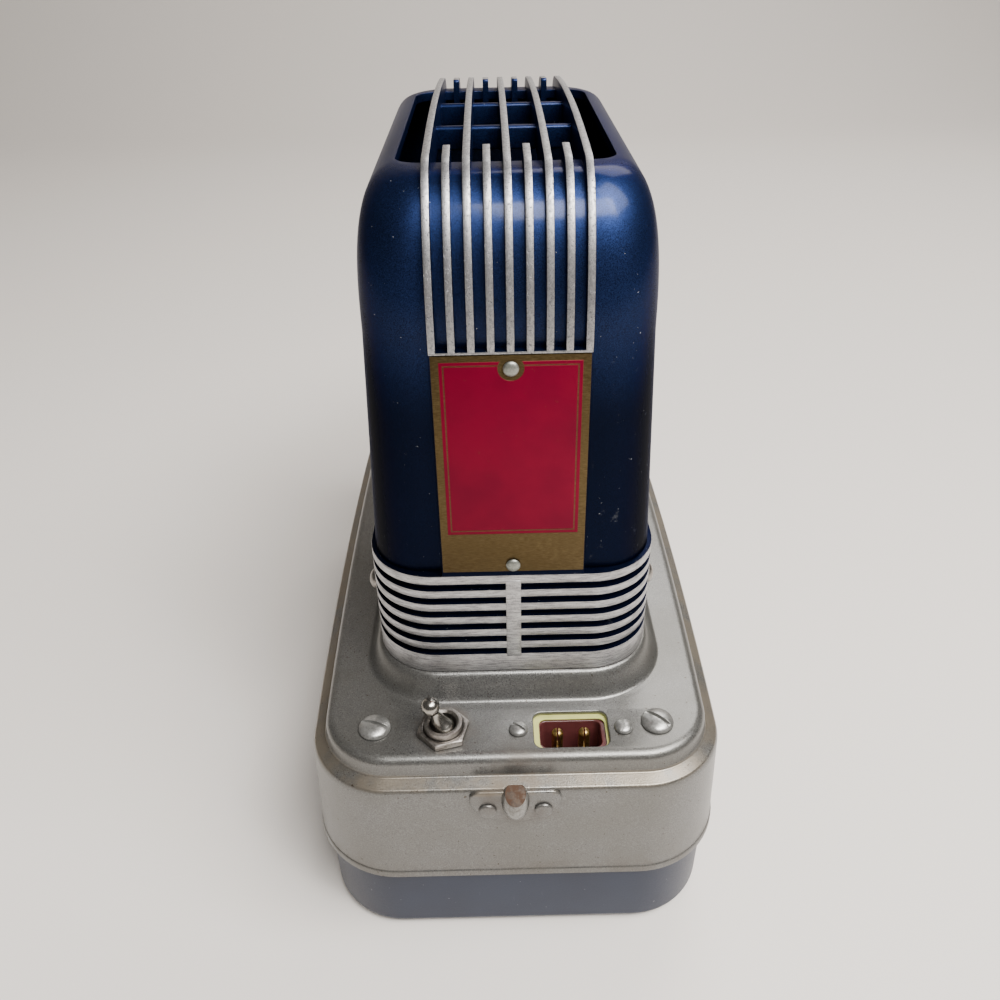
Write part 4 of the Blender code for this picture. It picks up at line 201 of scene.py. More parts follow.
panLook = {"paint": (0.018, 0.026, 0.05), "shade": (0.014, 0.02, 0.04), "worn": (0.2, 0.205, 0.225),
           "grainSize": 0.0006, "cloudSize": 0.03, "streakSize": 0.004, "chipSize": 0.0016, "low": (0.004, 0.022),
           "roughness": 0.4}


# slate blue paint, scuffed low down
def panPaint():
    look = panLook
    coat = Coat("panPaint", IOR=1.4, metallic=0.25)
    grain = coat.noise(look["grainSize"], 2.0, 0.6)
    cloud = coat.noise(look["cloudSize"], 3.0, 0.55)
    streak = coat.noise(look["streakSize"], 4.0, 0.7, stretch=(3, 3, 0.6))
    scuff = coat.ramp(streak, 0.66, 0.72) * coat.fall(coat.z, *look["low"])
    chip = coat.ramp(coat.noise(look["chipSize"], 2.0, 0.5, shift=(2, 8, 5)), 0.74, 0.76)
    paint = coat.blend(coat.ramp(cloud, 0.3, 0.7), look["paint"], look["shade"])
    paint = coat.blend(scuff * 0.5, paint, look["worn"])
    return coat.finish(baseColor=coat.blend(chip * 0.5, paint, look["worn"]),
                       roughness=look["roughness"] + (grain - 0.5) * 0.16 + scuff * 0.2,
                       normal=coat.bump(grain, 0.00004, 0.4))


# the near-black colour, the wall heights and the fade share below give the painted shade down the walls
enamelLook = {"deep": (0.004, 0.0075, 0.024), "flake": (0.018, 0.036, 0.125), "dust": (0.42, 0.44, 0.47),
              "night": (0.0012, 0.002, 0.006), "tint": (0.1, 0.14, 0.3), "flakeSize": 0.00026, "cloudSize": 0.03,
              "fleckSize": 0.0008, "hazeSize": 0.006, "orangeSize": 0.0022, "side": (-0.012, -0.034),
              "hazeTop": (0.21, 0.17), "wallTop": (0.214, 0.172), "ringTop": (0.1252, 0.1258),
              "shineFrom": (0.185, 0.215), "coatLow": 0.04, "coatHigh": 0.26, "fade": 0.88, "metallic": 0.9,
              "roughness": 0.42}


# dark blue metallic enamel: painted shade darkens the colour down the walls, glossy on the crown, hazy on one side,
# with pale flecks
def housingEnamel():
    look = enamelLook
    coat = Coat("housingEnamel", IOR=1.3, coatRoughness=0.15, coatIOR=1.42, specularTint=look["tint"])
    flake = coat.noise(look["flakeSize"], 2.0, 0.6)
    cloud = coat.noise(look["cloudSize"], 4.0, 0.6)
    fleck = coat.ramp(coat.noise(look["fleckSize"], 2.0, 0.6, shift=(5, 2, 9)), 0.755, 0.775)
    haze = coat.ramp(coat.noise(look["hazeSize"], 6.0, 0.72, shift=(1, 7, 3)), 0.62, 0.8)
    hazy = haze * coat.ramp(coat.x, *look["side"]) * coat.ramp(coat.z, *look["hazeTop"]) * 0.28
    # mask of the painted shade down the walls, a little weaker below the ring's top
    wall = coat.ramp(coat.z, *look["wallTop"]) * (coat.ramp(coat.z, *look["ringTop"]) * 0.15 + 0.85)
    paint = coat.blend(coat.ramp(flake, 0.2, 0.8), look["deep"], look["flake"])
    paint = coat.blend(coat.ramp(cloud, 0.35, 0.7, 0.3), paint, look["deep"])
    # painted shade: the walls are blended towards the near-black colour
    paint = coat.blend(wall * look["fade"], paint, look["night"])
    shine = look["coatLow"] + coat.ramp(coat.z, *look["shineFrom"], look["coatHigh"] - look["coatLow"])
    orange = coat.noise(look["orangeSize"], 2.0, 0.5)
    return coat.finish(baseColor=coat.blend(hazy + fleck * 0.85, paint, look["dust"]),
                       metallic=look["metallic"] * (1 - fleck),
                       roughness=look["roughness"] + (flake - 0.5) * 0.2 + hazy * 0.4 + fleck * 0.3,
                       coatWeight=shine * (1 - fleck - hazy),
                       normal=coat.bump(orange, 0.00005, 0.35, coat.bump(flake, 0.00002, 0.3)))


bareLook = {"bright": (0.62, 0.62, 0.625), "dull": (0.2, 0.2, 0.21), "pit": (0.07, 0.07, 0.085),
            "scratchSize": 0.0009, "fineSize": 0.00028, "stainSize": 0.009, "crossSize": 0.0012, "pitSize": 0.0007,
            "metallic": 0.96, "roughness": 0.4}


# metal left bare by a file: scratches run along, pits and remains of paint stay in it
def bareMetal(name, stretch, pits, share):
    look = bareLook
    coat = Coat(name, IOR=1.5)
    scratch = coat.noise(look["scratchSize"], 4.0, 0.75, stretch=stretch)
    fine = coat.noise(look["fineSize"], 3.0, 0.7)
    stain = coat.noise(look["stainSize"], 4.0, 0.65, shift=(4, 4, 4))
    cross = coat.noise(look["crossSize"], 3.0, 0.8, stretch=(1.5, 1.5, 0.5), shift=(9, 1, 1))
    pit = coat.ramp(coat.noise(look["pitSize"], 3.0, 0.7, shift=(2, 2, 2)), pits, pits + 0.05)
    tone = coat.ramp(scratch * 0.6 + fine * 0.25 + stain * 0.15, 0.38, 0.6)
    metal = coat.blend(tone * share, look["dull"], look["bright"])
    rough = look["roughness"] + (0.5 - scratch) * 0.45 + (cross - 0.5) * 0.2 + pit * 0.25
    return coat.finish(baseColor=coat.blend(pit * 0.85, metal, look["pit"]), metallic=look["metallic"] - pit * 0.5,
                       roughness=rough, normal=coat.bump(scratch + fine * 0.6 - pit, 0.00008, 0.5))


nameplate = {"halfX": 0.020425, "height": 0.0678, "thick": 0.0006, "footZ": 0.1273, "edge": 0.00018,
             "rivetTop": 0.0036, "rivetFoot": 0.0024, "rivetRadius": 0.0021, "rivetHead": 0.0009,
             "rivetShank": 0.0011, "rivetLength": 0.0026}
plateLook = {"red": (0.15, 0.0012, 0.017), "darkRed": (0.115, 0.001, 0.015), "gold": (0.06, 0.04, 0.016),
             "paleGold": (0.115, 0.082, 0.038), "dimGold": (0.065, 0.043, 0.018), "border": 0.0021,
             "topBorder": 0.0017, "line": 0.0009, "lineWidth": 0.0004, "redFoot": 0.0134, "disc": 0.0034,
             "lineShare": 0.7, "soft": 0.00006, "grainSize": 0.0004, "cloudSize": 0.02, "wearSize": 0.0022,
             "roughness": 0.4}


# etched plate: a red field with a thin gold frame, a gold border and a plain gold foot
def plateEtching(middleZ):
    look = plateLook
    coat = Coat("plateEtching", IOR=1.2)
    up = coat.z - middleZ + nameplate["height"] / 2
    side = nameplate["halfX"] - look["border"] - abs(coat.x)
    top = nameplate["height"] - look["topBorder"] - up
    edge = coat.least(coat.least(side, top), up - look["redFoot"])
    soft, inner, outer = look["soft"], look["line"], look["line"] + look["lineWidth"]
    line = coat.ramp(edge, inner - soft, inner + soft) * coat.fall(edge, outer - soft, outer + soft)
    drop = up - (nameplate["height"] - nameplate["rivetTop"])
    disc = coat.ramp(coat.x * coat.x + drop * drop, look["disc"] ** 2 * 0.97, look["disc"] ** 2 * 1.03)
    red = coat.ramp(edge, -soft, soft) * (1 - line * look["lineShare"]) * disc
    grain = coat.noise(look["grainSize"], 3.0, 0.7, stretch=(0.25, 1, 1.6))
    cloud = coat.noise(look["cloudSize"], 3.0, 0.6)
    wear = coat.ramp(coat.noise(look["wearSize"], 5.0, 0.75, shift=(6, 6, 0)), 0.66, 0.72)
    gold = coat.blend(coat.ramp(grain, 0.3, 0.75), look["gold"], look["paleGold"])
    gold = coat.blend(coat.ramp(cloud, 0.4, 0.7, 0.4), gold, look["dimGold"])
    paint = coat.blend(coat.ramp(cloud, 0.3, 0.7), look["red"], look["darkRed"])
    red = red * (1 - wear * 0.35)
    return coat.finish(baseColor=coat.blend(red, gold, paint), metallic=0.85 - red * 0.45,
                       roughness=look["roughness"] + (grain - 0.5) * 0.2 + wear * 0.15,
                       normal=coat.bump(red, 0.00006, 0.7, coat.bump(grain, 0.00002, 0.5)))


# plain metals and painted heads; rust is a colour and how rare it is
def metalLook(name, bright, dull, metallic, roughness, grainSize, depth, stretch=(1, 1, 1), rust=None):
    coat = Coat(name, IOR=1.5)
    grain = coat.noise(grainSize, 4.0, 0.7, stretch=stretch)
    cloud = coat.noise(0.005, 4.0, 0.6, shift=(3, 3, 3))
    colour = coat.blend(coat.ramp(grain * 0.6 + cloud * 0.4, 0.34, 0.64), dull, bright)
    rough = roughness + (grain - 0.5) * 0.25
    if rust:
        spot = coat.ramp(coat.noise(0.0026, 5.0, 0.7, shift=(8, 2, 6)), rust[1], rust[1] + 0.12)
        colour = coat.blend(spot * 0.8, colour, rust[0])
        metallic = metallic - spot * 0.5 * metallic
        rough = rough + spot * 0.25
    else:
        rough = rough + (cloud - 0.5) * 0.12
    return coat.finish(baseColor=colour, metallic=metallic, roughness=rough, normal=coat.bump(grain, depth, 0.5))


# moulded and soft finishes
def mouldedLook(name, colour, second, roughness, grainSize, depth, coatWeight=0.0):
    coat = Coat(name, IOR=1.5, metallic=0.0, coatWeight=coatWeight, coatRoughness=0.12)
    grain = coat.noise(grainSize, 3.0, 0.6)
    cloud = coat.noise(0.009, 4.0, 0.65, shift=(1, 5, 2))
    return coat.finish(baseColor=coat.blend(coat.ramp(cloud, 0.35, 0.68), colour, second),
                       roughness=roughness + (grain - 0.5) * 0.2 + (cloud - 0.5) * 0.15,
                       normal=coat.bump(grain, depth, 0.5))


# turned metal: fine rings across the optical axis
def turnedMetal(name, bright, dull, roughness):
    coat = Coat(name, IOR=1.5)
    ring = coat.streak(coat.y, 1 / 5200, 3.0, 0.7)
    wide = coat.streak(coat.y, 1 / 700, 2.0, 0.6)
    cloud = coat.noise(0.012, 4.0, 0.6)
    return coat.finish(baseColor=coat.blend(coat.ramp(ring * 0.6 + cloud * 0.4, 0.35, 0.65), dull, bright),
                       metallic=1.0 - coat.ramp(cloud, 0.55, 0.8, 0.1),
                       roughness=roughness + (ring - 0.5) * 0.3 + (cloud - 0.5) * 0.12,
                       normal=coat.bump(ring + wide, 0.00004, 0.5))


def clearGlass(name, tint, dusty):
    coat = Coat(name, baseColor=tint, transmissionWeight=1.0, IOR=1.5)
    return coat.finish(roughness=0.02 + coat.ramp(coat.noise(0.002, 5.0, 0.7), 0.45, 0.8, dusty))


def silvered():
    coat = Coat("silvered", metallic=1.0)
    tarnish = coat.noise(0.006, 4.0, 0.65)
    colour = coat.blend(coat.ramp(tarnish, 0.45, 0.75, 0.5), (0.88, 0.88, 0.87), (0.6, 0.55, 0.45))
    return coat.finish(baseColor=colour, roughness=0.05 + coat.ramp(tarnish, 0.4, 0.8, 0.12))


# copper wire wound in layers round the core's limb
def windingWire():
    coat = Coat("windingWire", IOR=1.5, coatWeight=0.5, coatRoughness=0.2)
    turn = coat.zigzag(coat.x, 0.00035)
    cloud = coat.noise(0.006, 4.0, 0.6)
    return coat.finish(baseColor=coat.blend(turn * 0.8 + cloud * 0.3, (0.16, 0.045, 0.02), (0.5, 0.2, 0.09)),
                       metallic=0.9 - cloud * 0.2, roughness=0.3 + cloud * 0.2,
                       normal=coat.bump(turn, 0.00025, 0.8))


# stacked sheets: fine lines across Z
def laminations():
    coat = Coat("laminations", IOR=1.5)
    sheet = coat.zigzag(coat.z, 0.0003)
    rust = coat.noise(0.004, 5.0, 0.7)
    return coat.finish(baseColor=coat.blend(coat.ramp(rust, 0.45, 0.75), (0.24, 0.24, 0.25), (0.16, 0.08, 0.04)),
                       metallic=0.85 - coat.ramp(rust, 0.45, 0.75, 0.5), roughness=0.42 + rust * 0.2,
                       normal=coat.bump(coat.ramp(sheet, 0.1, 0.4), 0.00012, 0.7))


def paleFloor(colour):
    coat = Coat("paleFloor", IOR=1.4, metallic=0.0)
    cloud = coat.noise(0.4, 3.0, 0.5)
    return coat.finish(baseColor=coat.blend(cloud, colour, tuple(c * 0.97 for c in colour)),
                       roughness=0.55 + cloud * 0.1)


looks = {
    "coverPaint": coverPaint(),
    "panPaint": panPaint(),
    "enamel": housingEnamel(),
    "crest": bareMetal("crestMetal", (1.2, 0.7, 0.7), 0.59, 0.42),
    "band": bareMetal("bandMetal", (0.22, 0.22, 2.2), 0.66, 0.72),
    "nickel": metalLook("nickel", (0.34, 0.32, 0.3), (0.19, 0.175, 0.16), 1.0, 0.36, 0.0006, 0.00002,
                        rust=((0.2, 0.1, 0.05), 0.62)),
    "polished": metalLook("polishedNickel", (0.4, 0.39, 0.36), (0.27, 0.255, 0.235), 1.0, 0.22, 0.0009, 0.00001),
    "screwPaint": metalLook("screwPaint", (0.4, 0.4, 0.39), (0.23, 0.23, 0.22), 0.8, 0.34, 0.0009, 0.00003),
    "rivetMetal": metalLook("rivetMetal", (0.3, 0.31, 0.28), (0.18, 0.19, 0.17), 0.85, 0.42, 0.0005, 0.00003),
    "catchWorn": metalLook("catchWorn", (0.075, 0.048, 0.03), (0.025, 0.014, 0.008), 0.3, 0.6, 0.0008, 0.00003,
                           rust=((0.06, 0.028, 0.014), 0.45)),
    "catchSteel": metalLook("catchSteel", (0.3, 0.3, 0.29), (0.15, 0.145, 0.135), 0.9, 0.32, 0.0008, 0.00003),
    "steel": metalLook("plainSteel", (0.45, 0.45, 0.46), (0.3, 0.3, 0.31), 1.0, 0.36, 0.0007, 0.00002,
                       rust=((0.17, 0.08, 0.04), 0.68)),
    "brass": metalLook("oldBrass", (0.55, 0.38, 0.13), (0.32, 0.21, 0.08), 1.0, 0.33, 0.0008, 0.00002),
    "sheet": metalLook("fanSheet", (0.6, 0.6, 0.59), (0.44, 0.44, 0.44), 1.0, 0.34, 0.0008, 0.00002,
                       stretch=(0.3, 1, 1)),
    "turned": turnedMetal("turnedMetal", (0.66, 0.66, 0.65), (0.5, 0.5, 0.5), 0.26),
    "copper": windingWire(),
    "laminations": laminations(),
    "rubber": mouldedLook("footRubber", (0.022, 0.021, 0.02), (0.04, 0.037, 0.034), 0.78, 0.0006, 0.00008),
    "phenolic": mouldedLook("phenolic", (0.085, 0.022, 0.022), (0.055, 0.014, 0.014), 0.38, 0.0008, 0.00003, 0.3),
    "insulator": mouldedLook("fibreSheet", (0.5, 0.5, 0.17), (0.4, 0.42, 0.12), 0.62, 0.0005, 0.00005),
    "ceramic": mouldedLook("socketCeramic", (0.72, 0.69, 0.62), (0.6, 0.56, 0.48), 0.5, 0.0007, 0.00004),
    "black": mouldedLook("blackPaint", (0.02, 0.02, 0.021), (0.035, 0.034, 0.033), 0.5, 0.0006, 0.00005),
    "knob": mouldedLook("knobPlastic", (0.018, 0.017, 0.017), (0.03, 0.026, 0.024), 0.24, 0.0014, 0.00002, 0.4),
    "glass": clearGlass("lensGlass", (0.93, 0.96, 0.95), 0.05),
    "bulb": clearGlass("lampGlass", (0.96, 0.96, 0.95), 0.12),
    "mirror": silvered(),
    "floor": paleFloor((0.8, 0.76, 0.72)),
}
print("finishes made:", len(looks))


# Shapes
def putDown(name, shape, finishes=()):
    mesh = bpy.data.meshes.new(name)
    for finish in finishes:
        mesh.materials.append(looks[finish])
    shape.to_mesh(mesh)
    shape.free()
    item = bpy.data.objects.new(name, mesh)
    bpy.context.scene.collection.objects.link(item)
    return item


# the shape that an object's modifiers leave, with the object and its helpers taken away
def settle(item, *helpers):
    bpy.context.view_layer.update()
    shape = bmesh.new()
    shape.from_object(item, bpy.context.evaluated_depsgraph_get())
    for old in (item, *helpers):
        mesh = old.data
        bpy.data.objects.remove(old)
        bpy.data.meshes.remove(mesh)
    return shape


def carve(shape, tools, finishes=(), operation="DIFFERENCE"):
    item = putDown("rough", shape, finishes)
    helpers = [putDown("tool", tool, finishes) for tool in tools]
    for helper in helpers:
        cut = item.modifiers.new("carve", "BOOLEAN")
        cut.solver = "EXACT"
        cut.operation = operation
        cut.object = helper
    return settle(item, *helpers)


def thicken(shape, wall):
    item = putDown("rough", shape)
    skin = item.modifiers.new("wall", "SOLIDIFY")
    skin.thickness = wall
    skin.offset = -1
    skin.use_even_offset = True
    return settle(item)


def mend(shape):
    bmesh.ops.remove_doubles(shape, verts=shape.verts[:], dist=weld)
    bmesh.ops.recalc_face_normals(shape, faces=shape.faces[:])
    return shape


def move(shape, matrix):
    bmesh.ops.transform(shape, matrix=matrix, verts=shape.verts[:])
    return shape


def vertsOf(made):
    return [part for part in made["geom"] if isinstance(part, bmesh.types.BMVert)]


# softens the edges that turn by more than an angle, where a test on their middle holds
def ease(shape, width, segments=2, angle=40, where=None):
    shape.normal_update()
    sharp = []
    for edge in shape.edges:
        if len(edge.link_faces) == 2 and edge.calc_face_angle(0) > math.radians(angle):
            if where is None or where((edge.verts[0].co + edge.verts[1].co) / 2):
                sharp.append(edge)
    bmesh.ops.bevel(shape, geom=sharp, offset=width, offset_type="OFFSET", segments=segments, profile=0.5,
                    affect="EDGES", material=-1, clamp_overlap=True)
    return shape


def join(*shapes):
    whole = shapes[0]
    for extra in shapes[1:]:
        mesh = bpy.data.meshes.new("extra")
        extra.to_mesh(mesh)
        extra.free()
        whole.from_mesh(mesh)
        bpy.data.meshes.remove(mesh)
    return whole


# hands a finished shape over: its finishes, the node that it replaces, its body
def piece(name, shape, finishes, node, body="base", smooth=38):
    bmesh.ops.remove_doubles(shape, verts=shape.verts[:], dist=weld)
    item = putDown(name, shape, finishes)
    item.data.shade_smooth()
    item.data.set_sharp_from_angle(angle=math.radians(smooth))
    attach(item, body)
    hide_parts(node)


# one rounded rectangle lying flat
def plate(halfX, halfY, corner, z, at=(0, 0), steps=10, up=True):
    shape = bmesh.new()
    bmesh.ops.create_grid(shape, x_segments=1, y_segments=1, size=1,
                          matrix=Matrix.Translation((*at, z)) @ Matrix.Diagonal((halfX, halfY, 1, 1)))
    bmesh.ops.bevel(shape, geom=shape.verts[:], offset=corner, offset_type="OFFSET", segments=steps, profile=0.5,
                    affect="VERTICES", material=-1)
    if not up:
        bmesh.ops.reverse_faces(shape, faces=shape.faces[:])
    return shape


# carries the face of a plate through (inset, height) steps and returns the faces of each step
def press(shape, profile):
    shape.normal_update()
    face = next(iter(shape.faces))
    up = 1 if face.normal.z > 0 else -1
    inset, z = profile[0]
    made = []
    for nextInset, nextZ in profile[1:]:
        result = bmesh.ops.inset_region(shape, faces=[face], thickness=nextInset - inset, depth=(nextZ - z) * up,
                                        use_even_offset=True, use_boundary=True)
        made.append(result["faces"])
        inset, z = nextInset, nextZ
    return made


# quarters of an arc for a profile: an edge that bulges, and one that is hollow
def roundStep(inset, z, radius, steps, tall):
    angles = [math.pi / 2 * (i + 1) / steps for i in range(steps)]
    return [(inset + radius * (1 - math.cos(a)), z + tall * math.sin(a)) for a in angles]


def hollowStep(inset, z, radius, steps=5):
    angles = [math.pi / 2 * (i + 1) / steps for i in range(steps)]
    return [(inset + radius * math.sin(a), z + radius * (1 - math.cos(a))) for a in angles]


# gives a flat shape its thickness
def drawOut(shape, way):
    bmesh.ops.translate(shape, vec=way, verts=vertsOf(bmesh.ops.extrude_face_region(shape, geom=shape.faces[:])))
    return mend(shape)


def prism(halfX, halfY, corner, low, high, at=(0, 0), steps=8):
    return drawOut(plate(halfX, halfY, corner, low, at, steps), (0, 0, high - low))


def block(low, high, edge=0.0, segments=2):
    shape = bmesh.new()
    size = [b - a for a, b in zip(low, high)]
    middle = [(a + b) / 2 for a, b in zip(low, high)]
    bmesh.ops.create_cube(shape, size=1, matrix=Matrix.Translation(middle) @ Matrix.Diagonal((*size, 1)))
    return ease(shape, edge, segments) if edge else shape


# a flat outline in the YZ plane, given a width along X
def slab(outline, width):
    shape = bmesh.new()
    shape.faces.new([shape.verts.new((0, y, z)) for y, z in outline])
    return move(drawOut(shape, (width, 0, 0)), Matrix.Translation((-width / 2, 0, 0)))


# a turned piece from (radius, height) points; a ring's profile closes on itself
def lathe(profile, at=(0, 0, 0), facing="up", steps=64, ring=False):
    shape = bmesh.new()
    points = [shape.verts.new((radius, 0, z)) for radius, z in profile]
    lines = [shape.edges.new(pair) for pair in zip(points, points[1:])]
    if ring:
        lines.append(shape.edges.new((points[-1], points[0])))
    bmesh.ops.spin(shape, geom=points + lines, cent=(0, 0, 0), axis=(0, 0, 1), dvec=(0, 0, 0), angle=math.tau,
                   steps=steps, use_merge=True)
    return move(mend(shape), Matrix.Translation(at) @ turns[facing])


def drum(radius, low, high, at=(0, 0, 0), facing="up", steps=64):
    return lathe([(0, high), (radius, high), (radius, low), (0, low)], at, facing, steps)


# the profile of a domed head, from its middle outwards
def dome(radius, height, steps=8, foot=0.0):
    angles = [math.pi / 2 * (1 - i / steps) for i in range(1, steps + 1)]
    return [(0, foot + height)] + [(radius * math.cos(a), foot + height * math.sin(a)) for a in angles]


# Base cover and pan
base = {"halfX": 0.0678, "halfY": 0.127, "corner": 0.0265, "bow": 0.003, "sheet": 0.0012, "footZ": 0.0312,
        "flare": 0.0013, "flareTall": 0.0395, "lipProud": 0.0004, "lipHeight": 0.0024, "ledgeZ": 0.0716,
        "ledge": 0.003, "ledgeDrop": 0.0015, "shoulder": 0.0014, "shoulderTall": 0.003, "deckZ": 0.0783,
        "wallLean": 0.0004, "deckEdge": 0.0033, "crease": 0.0009, "switchHole": 0.0062, "windowEdge": 0.0004,
        "cornerSteps": 16, "sideCuts": 15, "smooth": 32}
pedestal = {"halfX": 0.0435, "halfY": 0.0772, "corner": 0.02, "run": 0.0058, "topZ": 0.087, "steps": 16,
            "skirt": 0.0016, "lift": 0.00002}
airHole = {"halfX": 0.03, "halfY": 0.06, "corner": 0.012}
inlet = {"x": -0.0168, "halfX": 0.0114, "halfY": 0.00705, "corner": 0.0028, "edge": 0.0012, "off": 0.0005,
         "edgeCorner": 0.0022, "sheetX": 0.0199, "sheetY": 0.0086, "sheetTop": 0.0768, "sheet": 0.0005,
         "bodyTop": 0.076, "bodyX": 0.0201, "bodyY": 0.0088, "bodyDepth": 0.02, "bodyEdge": 0.0005,
         "wellX": 0.0093, "wellY": 0.0051, "wellCorner": 0.002, "wellDepth": 0.013, "pinSpacing": 0.0082,
         "pinRadius": 0.0018, "pinTop": 0.0779, "pinDome": 0.0016, "pinTail": 0.004, "pinSplit": 0.00025,
         "splitReach": 0.004, "splitDepth": 0.007, "screwOffset": 0.0161}
inletScrew = {"radius": 0.0029, "head": 0.0016, "slot": 0.0008, "shank": 0.0013, "length": 0.011,
              "turns": (-36, 69)}
longEdge = 0.05


# a sheet pressed to a profile, with its long sides bowed
def tray(outset, z, profile, up=True):
    shape = plate(base["halfX"] + outset, base["halfY"] + outset, base["corner"] + outset, z,
                  steps=base["cornerSteps"], up=up)
    press(shape, profile)
    sides = [e for e in shape.edges if abs(e.verts[0].co.x - e.verts[1].co.x) < weld and e.calc_length() > longEdge]
    bmesh.ops.subdivide_edges(shape, edges=sides, cuts=base["sideCuts"])
    for vert in shape.verts:
        vert.co.x -= math.copysign(base["bow"] * (vert.co.y / base["halfY"]) ** 2, vert.co.x)
    return thicken(shape, base["sheet"])


def airTool(low, high):
    return prism(airHole["halfX"], airHole["halfY"], airHole["corner"], low, high, (0, housingY))


def makeCover():
    proud, crease, deckZ = base["lipProud"], base["crease"], base["deckZ"]
    skirtTop = base["ledgeZ"] - base["ledgeDrop"] - base["shoulderTall"]
    lipTop = base["footZ"] + base["lipHeight"]
    wall = base["flare"] + base["shoulder"] + base["ledge"]
    profile = [(-proud, base["footZ"]), (-proud, lipTop - proud), (-proud * 0.7, lipTop - proud * 0.2),
               (0, lipTop + proud * 0.6), (base["flare"], skirtTop)]
    profile += roundStep(base["flare"], skirtTop, base["shoulder"], 9, base["shoulderTall"])
    profile += [(wall - crease, base["ledgeZ"])] + hollowStep(wall - crease, base["ledgeZ"], crease)
    wall, edgeFoot = wall + base["wallLean"], deckZ - base["deckEdge"]
    profile += [(wall, edgeFoot)] + roundStep(wall, edgeFoot, base["deckEdge"], 7, base["deckEdge"])
    low, high = deckZ - 2 * overrun, deckZ + overrun
    shape = carve(tray(proud, base["footZ"], profile), [
        airTool(low, high),
        prism(inlet["halfX"], inlet["halfY"], inlet["corner"], low, high, (inlet["x"], fittingsY)),
        drum(base["switchHole"], low, high, (switchX, fittingsY, 0))])
    windowX, windowY = inlet["halfX"] + overrun, inlet["halfY"] + overrun
    ease(shape, base["windowEdge"], 3, 50, lambda at: at.z > deckZ - 0.0001 and abs(at.x - inlet["x"]) < windowX
         and abs(at.y - fittingsY) < windowY)
    piece("coverShell", shape, ["coverPaint"], "base_cover", smooth=base["smooth"])


# the pedestal swells from the deck as half a wave
def makePedestal():
    skirt, foot = pedestal["skirt"], base["deckZ"] + pedestal["lift"]
    rise = pedestal["topZ"] - base["deckZ"] - pedestal["lift"]
    profile = [(0, foot), (skirt, foot)]
    for i in range(1, pedestal["steps"] + 1):
        share = i / pedestal["steps"]
        profile.append((skirt + pedestal["run"] * share, foot + rise * (1 - math.cos(math.pi * share)) / 2))
    grow = pedestal["run"] + skirt
    shape = plate(pedestal["halfX"] + grow, pedestal["halfY"] + grow, pedestal["corner"] + grow, foot, (0, housingY),
                  base["cornerSteps"])
    press(shape, profile)
    shape = carve(thicken(shape, base["sheet"]), [airTool(base["deckZ"] - overrun, pedestal["topZ"] + overrun)])
    piece("coverPedestal", shape, ["coverPaint"], "base_cover", smooth=base["smooth"])


pan = {"topZ": 0.044, "bottomZ": 0.0018, "taper": 0.0004, "edge": 0.0025, "slots": 5, "pitch": 0.008,
       "slotX": 0.03, "slotY": 0.002, "offset": 0.016, "postRadius": 0.0045, "postBore": 0.0021, "postDepth": 0.015,
       "postFoot": 0.0006, "windowX": 0.0125, "windowY": (-0.13, -0.12), "windowGap": 0.0008, "legHole": 0.0076}
deckScrews = {"x": 0.0435, "y": 0.1079, "z": 0.0786, "radius": 0.005, "head": 0.0024, "slot": 0.0012,
              "shank": 0.002, "length": 0.012, "turns": (-18, -40, -35, 80)}
wheel = {"y": -0.108, "z": 0.0143, "height": 0.008, "radius": 0.021, "knurls": 30, "depth": 0.00084,
         "edge": 0.0007, "bore": 0.00418}


def deckPlaces():
    return [(x, y) for y in (deckScrews["y"], -deckScrews["y"]) for x in (deckScrews["x"], -deckScrews["x"])]


def makePan():
    start = base["flare"] * (pan["topZ"] - base["footZ"]) / base["flareTall"] + base["sheet"] + gap
    side, edgeZ = start + pan["taper"], pan["bottomZ"] + pan["edge"]
    profile = [(start, pan["topZ"]), (side, edgeZ)] + roundStep(side, edgeZ, pan["edge"], 7, -pan["edge"])
    low, high = pan["bottomZ"] - overrun, pan["bottomZ"] + base["sheet"] + overrun
    tools = [prism(pan["slotX"], pan["slotY"], pan["slotY"] * 0.3, low, high,
                   (0, housingY + end * (pan["offset"] + pan["pitch"] * i)), 3)
             for end in (1, -1) for i in range(pan["slots"])]
    tools.append(block((-pan["windowX"], pan["windowY"][0], wheel["z"] - pan["windowGap"]),
                       (pan["windowX"], pan["windowY"][1], wheel["z"] + wheel["height"] + pan["windowGap"])))
    tools.append(drum(pan["legHole"], low, high, (0, wheel["y"], 0), steps=32))
    shape = carve(tray(-start, pan["topZ"], profile, up=False), tools)
    top, foot, bore = base["deckZ"] - base["sheet"] - gap, pan["bottomZ"] + pan["postFoot"], pan["postBore"]
    post = [(0, top - pan["postDepth"]), (bore, top - pan["postDepth"]), (bore, top), (pan["postRadius"], top),
            (pan["postRadius"], foot), (0, foot)]
    posts = [lathe(post, (x, y, 0), steps=24) for x, y in deckPlaces()]
    piece("panTray", join(shape, *posts), ["panPaint"], "base_pan", smooth=base["smooth"])


# a domed head with a driver slot on a plain shank
def slottedScrew(name, size, at, facing, turn, finish, node):
    radius, shank, width = size["radius"], size["shank"], size["slot"]
    profile = dome(radius, size["head"], 9) + [(radius, -0.00001), (shank, 0), (shank, -size["length"]),
                                               (0, -size["length"])]
    low, high = size["head"] * 0.45, size["head"] + overrun
    blade = block((-2 * radius, -width / 2, low), (2 * radius, width / 2, high))
    head = mend(carve(lathe(profile, steps=48), [move(blade, Matrix.Rotation(math.radians(turn), 4, "Z"))]))
    ease(head, width * 0.12, 2, 50, lambda spot: spot.z > low * 0.6)
    piece(name, move(head, Matrix.Translation(at) @ turns[facing]), [finish], node)


def makeDeckScrews():
    for i, (x, y) in enumerate(deckPlaces()):
        slottedScrew(f"deckScrew{i + 1}", deckScrews, (x, y, deckScrews["z"]), "up", deckScrews["turns"][i],
                     "screwPaint", f"deck_screw_{i + 1}")


